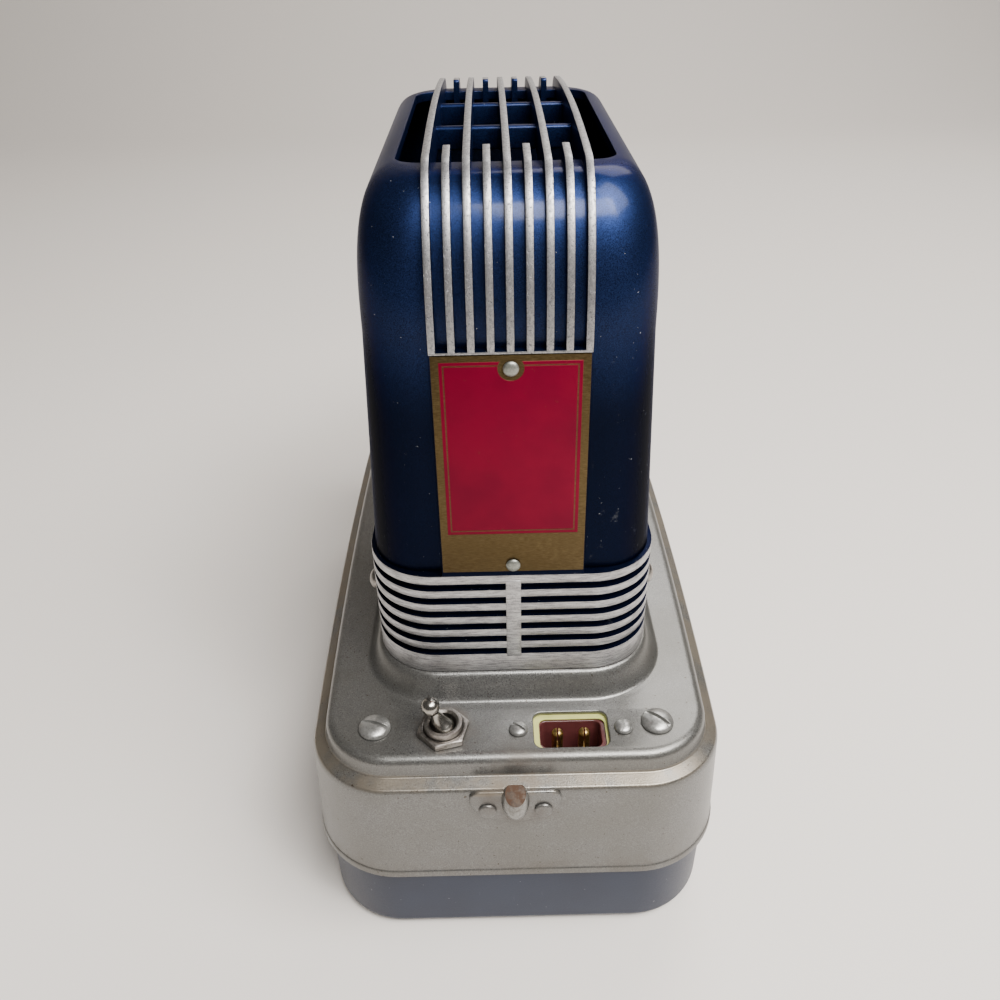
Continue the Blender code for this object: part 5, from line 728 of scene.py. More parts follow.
# Case catches, built flat against the skirt
catch = {"x": 0.0008, "halfX": 0.01375, "height": 0.013, "ear": 0.00375, "waist": (0.0071, -0.0116), "tip": 0.002,
         "thick": 0.0011, "edge": 0.0007, "topZ": 0.0707, "rivetSpacing": 0.0168, "rivetZ": 0.0632,
         "rivetRadius": 0.0027, "rivetHead": 0.0008, "rivetShank": 0.0013, "rivetLength": 0.0032,
         "noseX": 0.0042, "noseProud": 0.0046, "noseZ": 0.0066, "noseMiddle": 0.0672, "noseEdge": 0.00035,
         "wornY": -0.0053, "wornZ": -0.0012, "wornFacing": (0, -0.52, 0.85)}


def catchFrame(end):
    turn = Matrix.Rotation(0 if end < 0 else math.pi, 4, "Z")
    lean = math.atan2(base["flare"], base["flareTall"])
    footY = -base["halfY"] + base["flare"] * (catch["topZ"] - base["footZ"]) / base["flareTall"] - gap
    return turn @ Matrix.Translation((catch["x"] * -end, footY, catch["topZ"])) @ Matrix.Rotation(-lean, 4, "X")


def slicePlane(shape, at, facing):
    cut = bmesh.ops.bisect_plane(shape, geom=shape.verts[:] + shape.edges[:] + shape.faces[:], plane_co=at,
                                 plane_no=facing, clear_outer=True)
    rim = [part for part in cut["geom_cut"] if isinstance(part, bmesh.types.BMEdge)]
    return bmesh.ops.contextual_create(shape, geom=rim)["faces"]


# the nose: the top is worn to a slanting flat with a bright ridge under it
def catchNose():
    nose = bmesh.new()
    size = (catch["noseX"], catch["noseProud"], catch["noseZ"], 1)
    spot = (0, -catch["thick"], catch["noseMiddle"] - catch["topZ"])
    bmesh.ops.create_uvsphere(nose, u_segments=40, v_segments=24, radius=1,
                              matrix=Matrix.Translation(spot) @ Matrix.Diagonal(size))
    for face in slicePlane(nose, (0, catch["wornY"], catch["wornZ"]), catch["wornFacing"]):
        face.material_index = 1
    bmesh.ops.recalc_face_normals(nose, faces=nose.faces[:])
    ease(nose, catch["noseEdge"], 3, 25)
    for face in nose.faces:
        face.material_index += 1
    slicePlane(nose, (0, 0, 0), (0, 1, 0))
    return nose


def makeCatch(end, word):
    stand = catchFrame(end)
    thick, half = catch["thick"], catch["halfX"]
    shape = bmesh.new()
    outline = [(half, 0), (half, -2 * catch["ear"]), catch["waist"], (catch["tip"], -catch["height"])]
    outline += [(-x, z) for x, z in reversed(outline)]
    shape.faces.new([shape.verts.new((x, -thick, z)) for x, z in outline])
    bmesh.ops.bevel(shape, geom=[v for v in shape.verts if abs(v.co.x) > half - weld], offset=catch["ear"] * 0.9,
                    offset_type="OFFSET", segments=8, profile=0.5, affect="VERTICES", material=-1,
                    clamp_overlap=True)
    drawOut(shape, (0, thick, 0))
    ease(shape, catch["edge"], 4, 50, lambda spot: spot.y < -thick * 0.6)
    piece(f"catchPlate{word}", move(join(shape, catchNose()), stand), ["coverPaint", "catchSteel", "catchWorn"],
          f"catch_{word.lower()}")
    radius, head, shank, length = (catch["rivet" + key] for key in ("Radius", "Head", "Shank", "Length"))
    profile = [(0, head), (radius * 0.72, head * 0.97), (radius * 0.88, head * 0.8), (radius * 0.97, head * 0.5),
               (radius, 0), (shank, 0), (shank, -length), (0, -length)]
    for side, name in ((1, "right"), (-1, "left")):
        spot = (side * catch["rivetSpacing"] / 2, -thick - gap, catch["rivetZ"] - catch["topZ"])
        rivet = move(lathe(profile, steps=40), stand @ Matrix.Translation(spot) @ turns["front"])
        piece(f"catchRivet{word}{name.title()}", rivet, ["coverPaint"], f"catch_rivet_{word.lower()}_{name}")


makeCover()
makePedestal()
makePan()
makeDeckScrews()
for end, word in ends:
    makeCatch(end, word)
print("base, screws and catches made")


# Lamphouse: ring of bands and grooves, shell, fins, pads and plate
ring = {"halfX": 0.0435, "halfY": 0.0772, "corner": 0.02, "lowZ": 0.0873, "topZ": 0.1252, "grooves": 6,
        "pitch": 0.0051, "height": 0.0023, "depth": 0.0018, "topGroove": 0.1209, "edge": 0.00025,
        "barX": 0.00225, "barProud": 0.0001}
shell = {"halfX": 0.042, "halfY": 0.0745, "corner": 0.0165, "draftX": 0.0027, "draftY": 0.0008, "wall": 0.0026,
         "shoulderZ": 0.195, "topZ": 0.2355, "insetX": 0.0145, "insetY": 0.018, "squareness": 3.2, "steps": 22,
         "bore": 0.0255, "boreY": -0.06, "cut": 0.02, "slotEdge": 0.0004, "slotEdgeX": 0.039}
crown = {"halfX": 0.02845, "halfY": 0.0496, "corner": 0.007, "rim": 0.0007}
fins = {"count": 9, "pitch": 0.00495, "width": 0.00195, "proud": 0.0033, "arch": 0.0027, "footZ": 0.1957,
        "rootInset": 0.0012, "rootDrop": 0.0045, "overhang": 0.0017, "edge": 0.00022, "tipEdge": 0.0009,
        "bareDepth": 0.0006, "steps": 22, "archCuts": 7}
bars = {"offset": 0.0165, "thick": 0.0028, "topZ": 0.2375, "edge": 0.0009}
pad = {"width": 0.0416, "topZ": 0.1961, "ledge": 0.0008, "root": 0.0725, "footY": 0.0771, "headY": 0.0761,
       "edge": 0.0003}
gate = {"y": -0.03, "slotY": 0.0043, "slotZ": 0.0285}


def housingPart(name, shape, finishes=("enamel", "crest"), smooth=38):
    piece(name, shape, finishes, "lamp_housing", smooth=smooth)


def makeRing():
    profile = [(0, ring["lowZ"])]
    grooved = []
    for i in reversed(range(ring["grooves"])):
        low = ring["topGroove"] - ring["pitch"] * i - ring["height"] / 2
        high = low + ring["height"]
        grooved += [len(profile), len(profile) + 1, len(profile) + 2]
        profile += [(0, low), (ring["depth"], low), (ring["depth"], high), (0, high)]
    profile.append((0, ring["topZ"]))
    shape = plate(ring["halfX"], ring["halfY"], ring["corner"], ring["lowZ"], (0, housingY), 16)
    made = press(shape, profile)
    for index in grooved:
        for face in made[index]:
            face.material_index = 1
    max(shape.faces, key=lambda face: len(face.verts)).material_index = 1
    bmesh.ops.contextual_create(shape, geom=[edge for edge in shape.edges if edge.is_boundary])
    ease(mend(shape), ring["edge"], 2, 50, lambda at: at.z > ring["lowZ"] + ring["edge"])
    inner = [shell[key] - shell["wall"] for key in ("halfX", "halfY", "corner")]
    tool = prism(*inner, ring["lowZ"] - overrun, ring["topZ"] + overrun, (0, housingY))
    shape = carve(shape, [tool], ["band", "enamel"])
    piece("housingRing", shape, ["band", "enamel"], "lamp_housing")
    low = ring["topGroove"] - ring["pitch"] * (ring["grooves"] - 1) - ring["height"]
    high = ring["topGroove"] + ring["height"]
    for end, word in ends:
        near, far = sorted(housingY + end * (ring["halfY"] + reach) for reach in (-2 * ring["depth"], ring["barProud"]))
        bar = block((-ring["barX"], near, low), (ring["barX"], far, high), ring["barProud"] * 2, 3)
        piece(f"ringBar{word}", bar, ["band"], "lamp_housing")


def insetShare(rise, squareness):
    return 1 - max(1 - rise ** squareness, 0) ** (1 / squareness)


def makeShell():
    shape = plate(shell["halfX"], shell["halfY"], shell["corner"], ring["topZ"], (0, housingY), 14)
    face = next(iter(shape.faces))
    halfX, halfY, z = shell["halfX"], shell["halfY"], ring["topZ"]
    centre = Matrix.Translation((0, -housingY, 0))
    for i in range(shell["steps"] + 1):
        rise = math.sin(math.pi / 2 * i / shell["steps"])
        nextX = shell["halfX"] - shell["draftX"] - shell["insetX"] * insetShare(rise, shell["squareness"])
        nextY = shell["halfY"] - shell["draftY"] - shell["insetY"] * insetShare(rise, 2)
        nextZ = shell["shoulderZ"] + (shell["topZ"] - shell["shoulderZ"]) * rise
        bmesh.ops.inset_region(shape, faces=[face], thickness=0, depth=nextZ - z, use_even_offset=True,
                               use_boundary=True)
        bmesh.ops.scale(shape, vec=(nextX / halfX, nextY / halfY, 1), verts=face.verts[:], space=centre)
        halfX, halfY, z = nextX, nextY, nextZ
    reach = ring["halfX"] + overrun
    shape = mend(carve(thicken(shape, shell["wall"]), [
        prism(crown["halfX"], crown["halfY"], crown["corner"], z - shell["cut"], z + overrun, (0, housingY), 10),
        block((-reach, gate["y"] - gate["slotY"], axisZ - gate["slotZ"]),
              (reach, gate["y"] + gate["slotY"], axisZ + gate["slotZ"])),
        drum(shell["bore"], -shell["cut"], shell["cut"], (0, shell["boreY"], axisZ), "front")]))
    ease(shape, crown["rim"], 4, 50, lambda at: at.z > z - 0.001 and abs(at.x) < crown["halfX"] + 0.0005)
    ease(shape, shell["slotEdge"], 3, 60,
         lambda at: abs(at.y - gate["y"]) < gate["slotY"] * 1.02 and abs(at.x) > shell["slotEdgeX"])
    housingPart("housingShell", shape, ["enamel"], 30)


shoulderZ = shell["shoulderZ"]
finCentre = shell["halfY"] - shell["draftY"] - shell["insetY"]
finY = shell["insetY"] + fins["proud"]
crestZ = shell["topZ"] + fins["proud"]
finZ = crestZ - shoulderZ


# whether a spot of a fin is on its outer edge
def crestOut(at):
    y = abs(at.y - housingY)
    if at.z < shoulderZ:
        return y > finCentre + finY - fins["bareDepth"]
    if y < finCentre:
        return at.z > crestZ - fins["bareDepth"]
    return ((y - finCentre) / finY) ** 2 + ((at.z - shoulderZ) / finZ) ** 2 > 0.93


# a fin: its crest is swept as an arc, drawn out to an ellipse, then arched over the opening
def makeFin(index, endBare=True):
    tip = 0 if index % 2 == 0 else crown["halfY"] - fins["overhang"]
    shape = bmesh.new()
    first = shape.verts.new((0, finY, 0))
    bmesh.ops.spin(shape, geom=[first], cent=(0, 0, 0), axis=(1, 0, 0), dvec=(0, 0, 0), angle=math.pi / 2,
                   steps=fins["steps"])
    bmesh.ops.scale(shape, vec=(1, 1, finZ / finY), verts=shape.verts[:])
    bmesh.ops.translate(shape, vec=(0, finCentre, shoulderZ), verts=shape.verts[:])
    min(shape.verts, key=lambda v: v.co.z).co.z = fins["footZ"]
    last = max(shape.verts, key=lambda v: v.co.z)
    drawn = bmesh.ops.extrude_vert_indiv(shape, verts=[last])
    drawn["verts"][0].co.y = tip
    bmesh.ops.subdivide_edges(shape, edges=drawn["edges"], cuts=fins["archCuts"])
    for vert in shape.verts:
        if vert.co.y < finCentre - weld:
            vert.co.z = crestZ + fins["arch"] * (1 - (vert.co.y / finCentre) ** 2)
    rootZ = shell["topZ"] - fins["rootDrop"]
    for vert in vertsOf(bmesh.ops.extrude_edge_only(shape, edges=shape.edges[:])):
        if vert.co.y < finCentre - weld:
            vert.co.z = rootZ
        else:
            vert.co.y = finCentre - fins["rootInset"] + shell["insetY"] * (vert.co.y - finCentre) / finY
            vert.co.z = shoulderZ + (rootZ - shoulderZ) * (vert.co.z - shoulderZ) / finZ
    if tip == 0:
        bmesh.ops.mirror(shape, geom=shape.verts[:] + shape.edges[:] + shape.faces[:], matrix=Matrix.Identity(4),
                         merge_dist=weld, axis="Y")
    bmesh.ops.recalc_face_normals(shape, faces=shape.faces[:])
    shape.normal_update()
    bmesh.ops.solidify(shape, geom=shape.faces[:], thickness=fins["width"])
    mend(shape)
    middle = sum(v.co.x for v in shape.verts) / len(shape.verts)
    x = fins["pitch"] * (index - (fins["count"] - 1) / 2)
    bmesh.ops.translate(shape, vec=(x - middle, housingY, 0), verts=shape.verts[:])
    if tip:
        ease(shape, fins["tipEdge"], 4, 60,
             lambda at: abs(at.y - housingY - tip) < 0.0001 and at.z > crestZ - 0.0002)
    for face in shape.faces:
        spot = face.calc_center_median()
        atEnd = tip and spot.y - housingY < tip + 0.001 and face.normal.z < 0.97
        if abs(face.normal.x) < 0.5 and crestOut(spot) and (endBare or not atEnd):
            face.material_index = 1
    return ease(shape, fins["edge"], 2, 60, crestOut)


def makeFins():
    flip = Matrix.Translation((0, housingY, 0)) @ Matrix.Diagonal((1, -1, 1, 1)) @ \
        Matrix.Translation((0, -housingY, 0))
    for i in range(fins["count"]):
        if i % 2 == 0:
            housingPart(f"longFin{i + 1}", makeFin(i))
        else:
            rear, front = makeFin(i), move(makeFin(i, False), flip)
            bmesh.ops.reverse_faces(front, faces=front.faces[:])
            housingPart(f"shortFinRear{i + 1}", rear)
            housingPart(f"shortFinFront{i + 1}", front)
    reach = fins["pitch"] * (fins["count"] - 1) / 2
    for side, word in ends:
        y = housingY + side * bars["offset"]
        bar = block((-reach, y - bars["thick"] / 2, shell["topZ"] - fins["rootDrop"]),
                    (reach, y + bars["thick"] / 2, bars["topZ"]), bars["edge"], 5)
        for face in bar.faces:
            if 0.93 < face.normal.z < 0.985:
                face.material_index = 1
        housingPart(f"crossBar{word}", bar)


def makePads():
    crest = shell["halfY"] - shell["draftY"] + fins["proud"]
    ledge = pad["topZ"] - pad["ledge"]
    foot = ring["topZ"] - ring["height"] / 2
    outline = [(pad["root"], foot), (pad["footY"], foot), (pad["footY"], ring["topZ"]), (pad["headY"], ledge),
               (crest, ledge), (crest, pad["topZ"]), (pad["root"], pad["topZ"])]
    for end, word in ends:
        shape = slab([(y * end, z) for y, z in outline], pad["width"])
        for face in shape.faces:
            middle = face.calc_center_median()
            if pad["topZ"] > middle.z > ledge and abs(face.normal.x) < 0.5 and abs(middle.y) > crest - 0.0001:
                face.material_index = 1
        ease(shape, pad["edge"], 2, 50)
        housingPart(f"platePad{word}", move(shape, Matrix.Translation((0, housingY, 0))))


plateLean = math.atan2(pad["footY"] - pad["headY"], pad["topZ"] - pad["ledge"] - ring["topZ"])


def plateSpot(height, proud):
    along = nameplate["footZ"] - ring["topZ"] + height
    y = housingY + pad["footY"] - along * math.sin(plateLean) + proud * math.cos(plateLean)
    return Vector((0, y, ring["topZ"] + along * math.cos(plateLean) + proud * math.sin(plateLean)))


def makeNameplate():
    turn = Matrix.Rotation(-math.pi / 2 + plateLean, 4, "X")
    half = (nameplate["halfX"], nameplate["height"] / 2, nameplate["thick"] / 2)
    middle = plateSpot(nameplate["height"] / 2, gap + nameplate["thick"] / 2)
    looks["plate"] = plateEtching(middle.z)
    shape = move(block([-a for a in half], half, nameplate["edge"], 2), Matrix.Translation(middle) @ turn)
    piece("plateFace", shape, ["plate"], "nameplate")
    shank, length = nameplate["rivetShank"], nameplate["rivetLength"]
    profile = dome(nameplate["rivetRadius"], nameplate["rivetHead"]) + [(shank, 0), (shank, -length), (0, -length)]
    for i, height in enumerate((nameplate["height"] - nameplate["rivetTop"], nameplate["rivetFoot"])):
        spot = plateSpot(height, gap * 2 + nameplate["thick"])
        rivet = move(lathe(profile, steps=40), Matrix.Translation(spot) @ turn)
        piece(f"plateRivet{i + 1}", rivet, ["rivetMetal"], f"plate_rivet_{i + 1}")


sideScrew = {"offset": 0.0522, "z": 0.1056, "radius": 0.0036, "head": 0.0026, "slot": 0.0009, "shank": 0.0019,
             "length": 0.007, "turns": (30, -50, 70, 5)}


def makeSideScrews():
    for i, (end, side) in enumerate([(end, side) for end in (1, -1) for side in (1, -1)]):
        at = (side * (ring["halfX"] + gap), housingY + end * sideScrew["offset"], sideScrew["z"])
        slottedScrew(f"sideScrew{i + 1}", sideScrew, at, "right" if side > 0 else "left", sideScrew["turns"][i],
                     "nickel", f"side_screw_{i + 1}")


makeRing()
makeShell()
makeFins()
makePads()
makeNameplate()
makeSideScrews()
print("lamphouse made")


# Toggle switch: bushing, nut and lever
toggle = {"bushing": 0.0059, "rimZ": 0.0829, "bore": 0.0042, "mouth": 0.0008, "boreDepth": 0.0085,
          "bodyX": 0.0135, "bodyY": 0.00725, "bodyDepth": 0.026, "bodyEdge": 0.0006, "flats": 0.0143,
          "nutHeight": 0.0022, "nutTurn": 15, "nutEdge": 0.00018, "chamfer": (0.0012, 0.0009), "pivotZ": 0.0799,
          "tilt": 20, "ball": 0.0029, "length": 0.01,
          "stem": [(0.00142, 0.0072), (0.0015, 0.0065), (0.00172, 0.0056), (0.002, 0.0046), (0.00232, 0.0036),
                   (0.00262, 0.0028), (0.003, 0.0021), (0.00345, 0.0014), (0.0038, 0.0005), (0.0038, -0.0005),
                   (0.0031, -0.0016), (0.00125, -0.0022), (0.00125, -0.0038), (0, -0.0038)]}


def makeToggle():
    rim, bore, mouth, radius = toggle["rimZ"], toggle["bore"], toggle["mouth"], toggle["bushing"]
    under = base["deckZ"] - base["sheet"] - gap
    profile = [(0, rim - toggle["boreDepth"]), (bore, rim - toggle["boreDepth"]), (bore, rim - mouth),
               (bore + mouth * 0.8, rim - 0.0001), (radius - 0.0004, rim - 0.0001), (radius - 0.0001, rim - 0.0002),
               (radius, rim - 0.0005), (radius, under - 0.001), (0, under - 0.001)]
    bushing = lathe(profile, (switchX, fittingsY, 0))
    x, y = toggle["bodyX"], toggle["bodyY"]
    body = block((switchX - x, fittingsY - y, under - toggle["bodyDepth"]), (switchX + x, fittingsY + y, under),
                 toggle["bodyEdge"], 2)
    for face in body.faces:
        face.material_index = 1
    piece("toggleBody", join(bushing, body), ["nickel", "phenolic"], "toggle_switch_body")
    corner, high = toggle["flats"] / 2 / math.cos(math.pi / 6), toggle["nutHeight"]
    nut = bmesh.new()
    bmesh.ops.create_circle(nut, cap_ends=True, segments=6, radius=corner,
                            matrix=Matrix.Rotation(math.pi / 2, 4, "Z"))
    drawOut(nut, (0, 0, high))
    # turned chamfer on the corners, then the bore
    inward, drop = toggle["chamfer"]
    turned = lathe([(0, -0.001), (corner + 0.001, -0.001), (corner + 0.001, high - drop), (corner - inward, high),
                    (0, high)], steps=96)
    nut = carve(carve(nut, [turned], operation="INTERSECT"), [drum(radius + gap, -0.001, high + 0.001)])
    ease(mend(nut), toggle["nutEdge"], 2, 30)
    move(nut, Matrix.Translation((switchX, fittingsY, base["deckZ"] + gap)) @
         Matrix.Rotation(math.radians(toggle["nutTurn"]), 4, "Z"))
    piece("toggleNut", nut, ["nickel"], "toggle_nut")
    ball, length = toggle["ball"], toggle["length"]
    angles = [math.pi / 2 - math.radians(150) * i / 18 for i in range(1, 19)]
    profile = [(0, length + ball)] + [(ball * math.cos(a), length + ball * math.sin(a)) for a in angles]
    lean = Matrix.Translation((switchX, fittingsY, toggle["pivotZ"])) @ \
        Matrix.Rotation(math.radians(toggle["tilt"]), 4, "Y")
    piece("toggleBat", move(lathe(profile + toggle["stem"], steps=48), lean), ["polished"], "toggle_lever",
          "toggle", 60)


def makeInlet():
    at, top, bodyTop = (inlet["x"], fittingsY), inlet["sheetTop"], inlet["bodyTop"]
    sheet = prism(inlet["sheetX"], inlet["sheetY"], inlet["corner"], top - inlet["sheet"], top, at)
    hole = prism(inlet["halfX"] - inlet["edge"], inlet["halfY"] - inlet["edge"], inlet["edgeCorner"],
                 bodyTop - overrun, top + overrun, (at[0] - inlet["off"], at[1] + inlet["off"]))
    piece("inletSheet", ease(carve(sheet, [hole]), 0.0001, 2, 50), ["insulator"], "inlet_insulator")
    foot = bodyTop - inlet["bodyDepth"]
    body = prism(inlet["bodyX"], inlet["bodyY"], inlet["corner"], foot, bodyTop, at)
    well = prism(inlet["wellX"], inlet["wellY"], inlet["wellCorner"], bodyTop - inlet["wellDepth"], bodyTop + overrun,
                 at)
    body = ease(mend(carve(body, [well])), inlet["bodyEdge"], 3, 50)
    piece("inletBlock", body, ["phenolic"], "inlet_body")
    radius, tip, tail, thin = inlet["pinRadius"], inlet["pinTop"], foot - inlet["pinTail"], inlet["pinSplit"]
    for i, side in enumerate((1, -1)):
        x = inlet["x"] + side * inlet["pinSpacing"] / 2
        profile = dome(radius, inlet["pinDome"], 6, tip - inlet["pinDome"]) + [(radius, tail), (0, tail)]
        split = block((x - thin, fittingsY - inlet["splitReach"], tip - inlet["splitDepth"]),
                      (x + thin, fittingsY + inlet["splitReach"], tip + 0.001))
        pin = carve(lathe(profile, (x, fittingsY, 0), steps=32), [split])
        piece(f"inletPin{i + 1}", pin, ["brass"], f"inlet_pin_{i + 1}")
        at = (inlet["x"] + side * inlet["screwOffset"], fittingsY, base["deckZ"] + gap)
        slottedScrew(f"inletScrew{i + 1}", inletScrew, at, "up", inletScrew["turns"][i], "screwPaint",
                     f"inlet_screw_{i + 1}")


makeToggle()
makeInlet()
print("switch and inlet made")


# Lens: boss, tube with its gearbox, barrel with its rack, glass and knob
lens = {"bossRadius": 0.032, "bossY": -0.0635, "bossBore": 0.0255, "bossDepth": 0.0074, "tubeY": -0.0638,
        "flange": 0.0032, "flangeRadius": 0.0308, "tubeRadius": 0.0265, "tubeLength": 0.0525, "spigot": 0.006,
        "spigotRadius": 0.0252, "bore": 0.0233, "round": 0.0005, "fillet": 0.0012, "barrelRadius": 0.023,
        "barrelBore": 0.0198, "barrelLength": 0.054, "lip": 0.005, "lipRings": 5, "lipRadius": 0.0255,
        "lipGroove": 0.0006, "lipY": -0.1166, "glassEdge": 0.004, "glassSag": 0.0024, "frontInset": 0.003,
        "rearInset": 0.004}
drive = {"y": -0.1048, "z": 0.1288, "module": 0.001, "teeth": 12, "rackDrop": 0.0262, "rackTop": 0.0214,
         "rackGaps": 14, "rackX": 0.003, "wall": 0.0024, "boxEdge": 0.0011, "shaftBore": 0.00216,
         "knobRadius": 0.0125, "knobX": 0.0188, "knobWidth": 0.0128, "knobEdge": 0.0009, "hubRadius": 0.0045,
         "hubBore": 0.0021, "flutes": 20, "fluteDepth": 0.00096, "gapTall": 0.0019, "gapDeep": 0.0012,
         "face": [(0, 0.0002), (0.004, 0.0002), (0.0042, 0), (0.0085, 0), (0.0089, 0.0003), (0.0089, -0.001),
                  (0, -0.001)]}


def makeBoss():
    radius, bore, deep = lens["bossRadius"], lens["bossBore"], lens["bossDepth"]
    profile = [(bore, 0), (radius - 0.0009, 0), (radius - 0.0003, -0.0002), (radius, -0.0008), (radius, -deep),
               (bore, -deep)]
    housingPart("lensBoss", lathe(profile, (0, lens["bossY"], axisZ), "front", 96, ring=True), ["enamel"])


def makeTube():
    length, radius, bore, soft, fillet = (lens[key] for key in ("tubeLength", "tubeRadius", "bore", "round", "fillet"))
    flange, wide = lens["flange"], lens["flangeRadius"]
    profile = [(bore, length), (bore + 0.0006, length), (radius - soft, length), (radius, length - soft),
               (radius, flange + fillet), (radius + fillet / 3, flange + fillet / 3), (radius + fillet, flange),
               (wide - soft, flange), (wide, flange - soft), (wide, 0), (lens["spigotRadius"], 0),
               (lens["spigotRadius"], -lens["spigot"]), (bore, -lens["spigot"])]
    tube = lathe(profile, (0, lens["tubeY"], axisZ), "front", 96, ring=True)
    module, wall, y, z = drive["module"], drive["wall"], drive["y"], drive["z"]
    pocket = module * drive["teeth"] / 2 + module + wall / 4
    side, slotX = pocket + wall, drive["rackX"] + gap
    half = slotX + wall
    top = axisZ - math.sqrt(radius ** 2 - half ** 2) + 0.001
    box = block((-half, y - side, z - side), (half, y + side, top), drive["boxEdge"], 4)
    tip = axisZ - drive["rackDrop"] - module * 0.9 - gap
    reach = half + overrun
    tube = carve(carve(tube, [box], operation="UNION"), [
        drum(pocket, -slotX, slotX, (0, y, z), "right"),
        block((-slotX, lens["tubeY"] - length - overrun, tip),
              (slotX, lens["tubeY"] + lens["spigot"] + overrun, axisZ - bore / 2)),
        drum(drive["shaftBore"], -reach, reach, (0, y, z), "right", 32)])
    piece("lensTube", tube, ["turned"], "lens_tube", smooth=32)


# the space between two teeth of the rack
def rackGap(y):
    tall, deep = drive["gapTall"], drive["gapDeep"]
    quarter = math.pi * drive["module"] / 4 + 0.00015
    slope = math.tan(math.radians(20))
    z = axisZ - drive["rackDrop"]
    outline = [(quarter - deep * slope, deep), (quarter + tall * slope, -tall), (-quarter - tall * slope, -tall),
               (-quarter + deep * slope, deep)]
    return slab([(y + a, z + b) for a, b in outline], 0.01)


def makeBarrel():
    lip, lipY, length, bore = lens["lip"], lens["lipY"], lens["barrelLength"], lens["barrelBore"]
    profile = [(bore + 0.0005, lip)]
    groove = lip / lens["lipRings"]
    for i in range(lens["lipRings"]):
        radius = lens["lipRadius"] - (lens["lipGroove"] if i % 2 else 0)
        soft = 0.0002 if i % 2 == 0 else 0
        high, low = lip - groove * i, lip - groove * (i + 1)
        profile += [(radius - soft, high), (radius, high - soft), (radius, low + soft), (radius - soft, low)]
    profile += [(lens["barrelRadius"], 0), (lens["barrelRadius"], -length), (bore, -length), (bore, lip - 0.0005)]
    barrel = lathe(profile, (0, lipY, axisZ), "front", 96, ring=True)
    for face in barrel.faces:
        spot = face.calc_center_median()
        if math.hypot(spot.x, spot.z - axisZ) < bore + 0.0004:
            face.material_index = 1
    piece("lensBarrel", barrel, ["turned", "black"], "lens_barrel", "lens", 32)
    pitch = math.pi * drive["module"]
    first = drive["y"] - pitch
    last = first + (drive["rackGaps"] - 1) * pitch
    tip = axisZ - drive["rackDrop"] - drive["module"] * 0.9
    rack = block((-drive["rackX"], first - pitch, tip), (drive["rackX"], last + pitch, axisZ - drive["rackTop"]),
                 0.0003, 2)
    rack = carve(rack, [rackGap(first + pitch * i) for i in range(drive["rackGaps"])])
    piece("lensRack", rack, ["steel"], "lens_barrel", "lens")
    radius, half = bore - gap, lens["glassEdge"] / 2
    front = [(radius * i / 12, half + lens["glassSag"] * (1 - (i / 12) ** 2)) for i in range(13)]
    profile = front + [(r, -z) for r, z in reversed(front)]
    for word, y in (("front", lipY - lip + lens["frontInset"] + half), ("rear", lipY + length - lens["rearInset"] - half)):
        glass = lathe(profile, (0, y, axisZ), "front", 72)
        piece(f"{word}Glass", glass, ["glass"], f"{word}_lens", "lens", 50)


# a round body with shallow flutes along its edge, for a knob or a wheel
def fluted(radius, depth, flutes, height, edge):
    shape = bmesh.new()
    bmesh.ops.create_circle(shape, cap_ends=True, segments=flutes * 8, radius=radius)
    for vert in shape.verts:
        angle = math.atan2(vert.co.y, vert.co.x)
        share = 1 - depth / radius * (0.5 - 0.5 * math.cos(angle * flutes)) ** 1.5
        vert.co.x *= share
        vert.co.y *= share
    face = next(iter(shape.faces))
    if face.normal.z < 0:
        bmesh.ops.reverse_faces(shape, faces=[face])
    soft = edge * 0.3
    press(shape, [(edge, 0), (soft, soft), (0, edge), (0, height - edge), (soft, height - soft), (edge, height)])
    bmesh.ops.contextual_create(shape, geom=[e for e in shape.edges if e.is_boundary])
    return mend(shape)


def makeDrive():
    x, y, z, bore, radius = (drive[key] for key in ("knobX", "y", "z", "hubBore", "hubRadius"))
    knob = fluted(drive["knobRadius"], drive["fluteDepth"], drive["flutes"], drive["knobWidth"], drive["knobEdge"])
    move(knob, Matrix.Translation((x, y, z)) @ turns["right"])
    start = drive["rackX"] + 2 * gap + drive["wall"]
    boss = lathe(drive["face"], (x + drive["knobWidth"], y, z), "right")
    hub = lathe([(bore, 0), (radius - 0.0004, 0), (radius, 0.0004), (radius, x - start), (bore, x - start)],
                (start, y, z), "right", 48, ring=True)
    piece("focusKnob", join(knob, hub, boss), ["knob"], "focus_knob", "focus", 40)


# Elevating gear and feet
leg = {"top": 0.05, "topRadius": 0.0034, "radius": 0.004, "root": 0.0036, "pitch": 0.001, "threadTop": 0.0494,
       "threadFoot": 0.0075, "neckZ": 0.0074, "neck": 0.0028, "foot": 0.0034,
       "tip": [(0, 0.0031), (0.00296, 0.0031), (0.00296, 0.0071), (0.0066, 0.0071), (0.007, 0.0067),
               (0.007, 0.0012), (0.0067, 0.0008), (0.0062, 0.0006), (0, 0.0006)]}
feet = {"count": 4, "radius": 0.0075, "height": 0.0015, "stem": 0.0027, "barb": 0.0042, "barbZ": (0.0036, 0.0045),
        "barbTop": 0.0036, "dish": 0.0035}


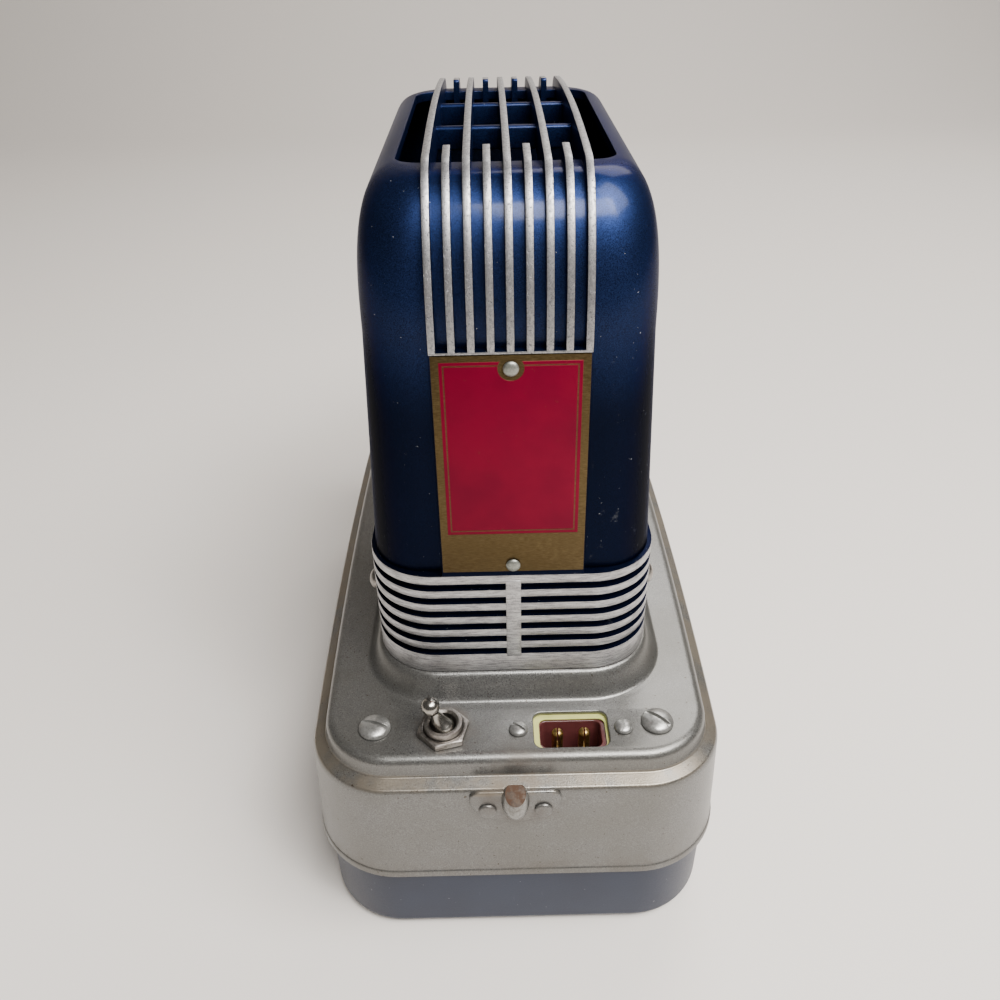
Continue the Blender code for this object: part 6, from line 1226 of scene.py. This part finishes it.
def makeWheel():
    shape = fluted(wheel["radius"], wheel["depth"], wheel["knurls"], wheel["height"], wheel["edge"])
    shape = carve(shape, [drum(wheel["bore"], -0.02, 0.02, steps=48)])
    move(shape, Matrix.Translation((0, wheel["y"], wheel["z"])))
    piece("elevatingWheel", shape, ["brass"], "elevating_wheel", "wheel")
    at, radius, z = (0, wheel["y"], 0), leg["radius"], leg["threadTop"]
    profile = [(0, leg["top"]), (leg["topRadius"], leg["top"]), (radius, z)]
    while z > leg["threadFoot"]:
        profile += [(radius, z - 0.0003), (leg["root"], z - 0.0007)]
        z -= leg["pitch"]
    profile += [(radius, leg["neckZ"]), (leg["neck"], leg["neckZ"]), (leg["neck"], leg["foot"]), (0, leg["foot"])]
    piece("elevatingScrew", lathe(profile, at, steps=32), ["steel"], "elevating_leg", "leg")
    piece("legPad", lathe(leg["tip"], at, steps=48), ["rubber"], "leg_tip", "leg")


def makeFeet():
    radius, height, stem, barb, (barbFoot, barbHead) = (feet[key] for key in ("radius", "height", "stem", "barb",
                                                                            "barbZ"))
    for i in range(feet["count"]):
        low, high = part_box(f"foot_{i + 1}")
        profile = [(0, 0.0001), (feet["dish"], 0.0001), (0.0042, 0), (radius - 0.0006, 0), (radius - 0.0002, 0.0002),
                   (radius, 0.0006), (radius, height), (stem, height), (stem, barbFoot), (barb, barbFoot),
                   (barb, barbHead), (feet["barbTop"], high.z), (0, high.z)]
        pad = lathe(profile, ((low.x + high.x) / 2, (low.y + high.y) / 2, 0), steps=48)
        piece(f"footPad{i + 1}", pad, ["rubber"], f"foot_{i + 1}")


makeBoss()
makeTube()
makeBarrel()
makeDrive()
makeWheel()
makeFeet()
print("lens, drive and feet made")

# the carrier keeps the outline of its node, with its edges rounded
carrier = {"edge": 0.0007, "flat": 2}


def makeCarrier():
    shape = bmesh.new()
    shape.from_mesh(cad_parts["slide_carrier"].data)
    mend(shape)
    bmesh.ops.dissolve_limit(shape, angle_limit=math.radians(carrier["flat"]), verts=shape.verts[:],
                             edges=shape.edges[:])
    piece("slideCarrier", ease(shape, carrier["edge"], 3, 50), ["black"], "slide_carrier", "carrier")


makeCarrier()

# CAD nodes that stay as they are take their finish here
kept = {"optics_frame": "sheet", "slide_gate": "black", "motor_core": "laminations",
        "motor_coil": "copper", "motor_bracket": "steel", "motor_rotor": "steel", "fan_wheel": "sheet",
        "elevating_bracket": "steel", "lamp_socket": "ceramic", "lamp_base": "brass", "lamp_bulb": "bulb",
        "lamp_filament": "steel", "reflector": "mirror", "rear_condenser": "glass", "front_condenser": "glass",
        "heat_glass": "glass", "focus_pinion": "brass"}
for node, finish in kept.items():
    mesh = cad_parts[node].data
    mesh.materials.clear()
    mesh.materials.append(looks[finish])
print("carrier made, kept nodes finished:", len(kept))

# Floor, lights and camera
stage = {"halfWidth": 3.0, "front": 2.4, "back": -1.1, "sweep": 0.6, "height": 2.4}
room = {"colour": (0.8, 0.76, 0.71, 1), "strength": 0.2, "aim": (0, 0.02, 0.12)}
lights = {
    "key": {"at": (-0.22, 0.55, 0.84), "wide": 0.5, "high": 0.24, "power": 12.0, "colour": (1.0, 0.975, 0.94)},
    "top": {"at": (-0.68, 0.4, 1.3), "wide": 0.8, "high": 0.8, "power": 26.0, "colour": (1.0, 0.965, 0.925)},
    "window": {"at": (-0.42, -0.95, 1.25), "wide": 0.8, "high": 0.8, "power": 13.0, "colour": (1.0, 0.965, 0.925)},
}
view = {"at": (0.0043, 0.3007, 0.2903), "right": (-0.9997, 0.0156, -0.017), "forward": (-0.0035, -0.832, -0.5547),
        "lens": 32.5, "sensor": 36, "nearest": 0.01}


# a floor that sweeps up into a back wall
def makeStage():
    side = stage["halfWidth"]
    shape = bmesh.new()
    first = shape.verts.new((-side, stage["front"], 0))
    second = shape.verts.new((-side, stage["back"], 0))
    shape.edges.new((first, second))
    bmesh.ops.spin(shape, geom=[second], cent=(-side, stage["back"], stage["sweep"]), axis=(-1, 0, 0),
                   dvec=(0, 0, 0), angle=math.pi / 2, steps=24)
    top = max(shape.verts, key=lambda v: v.co.z)
    bmesh.ops.extrude_vert_indiv(shape, verts=[top])["verts"][0].co.z = stage["height"]
    wide = bmesh.ops.extrude_edge_only(shape, edges=shape.edges[:])
    bmesh.ops.translate(shape, vec=(2 * side, 0, 0), verts=vertsOf(wide))
    floor = putDown("paleFloor", mend(shape), ["floor"])
    floor.data.shade_smooth()


def makeLights():
    for name, light in lights.items():
        lamp = bpy.data.lights.new(name, "AREA")
        lamp.shape = "RECTANGLE"
        lamp.size = light["wide"]
        lamp.size_y = light["high"]
        lamp.energy = light["power"]
        lamp.color = light["colour"]
        item = bpy.data.objects.new(name, lamp)
        bpy.context.scene.collection.objects.link(item)
        item.location = light["at"]
        item.rotation_euler = (Vector(room["aim"]) - Vector(light["at"])).to_track_quat("-Z", "Y").to_euler()
    world = bpy.data.worlds.new("softRoom")
    world.use_nodes = True
    background = world.node_tree.nodes["Background"]
    background.inputs["Color"].default_value = room["colour"]
    background.inputs["Strength"].default_value = room["strength"]
    bpy.context.scene.world = world


def makeCamera():
    camera = bpy.data.cameras.new("photoView")
    camera.lens = view["lens"]
    camera.sensor_width = view["sensor"]
    camera.clip_start = view["nearest"]
    item = bpy.data.objects.new("photoView", camera)
    bpy.context.scene.collection.objects.link(item)
    forward = Vector(view["forward"]).normalized()
    right = Vector(view["right"])
    right = (right - forward * right.dot(forward)).normalized()
    up = right.cross(forward)
    item.matrix_world = Matrix.Translation(view["at"]) @ Matrix((right, up, -forward)).transposed().to_4x4()
    bpy.context.scene.camera = item


makeStage()
makeLights()
makeCamera()
print("stage, lights and camera made")
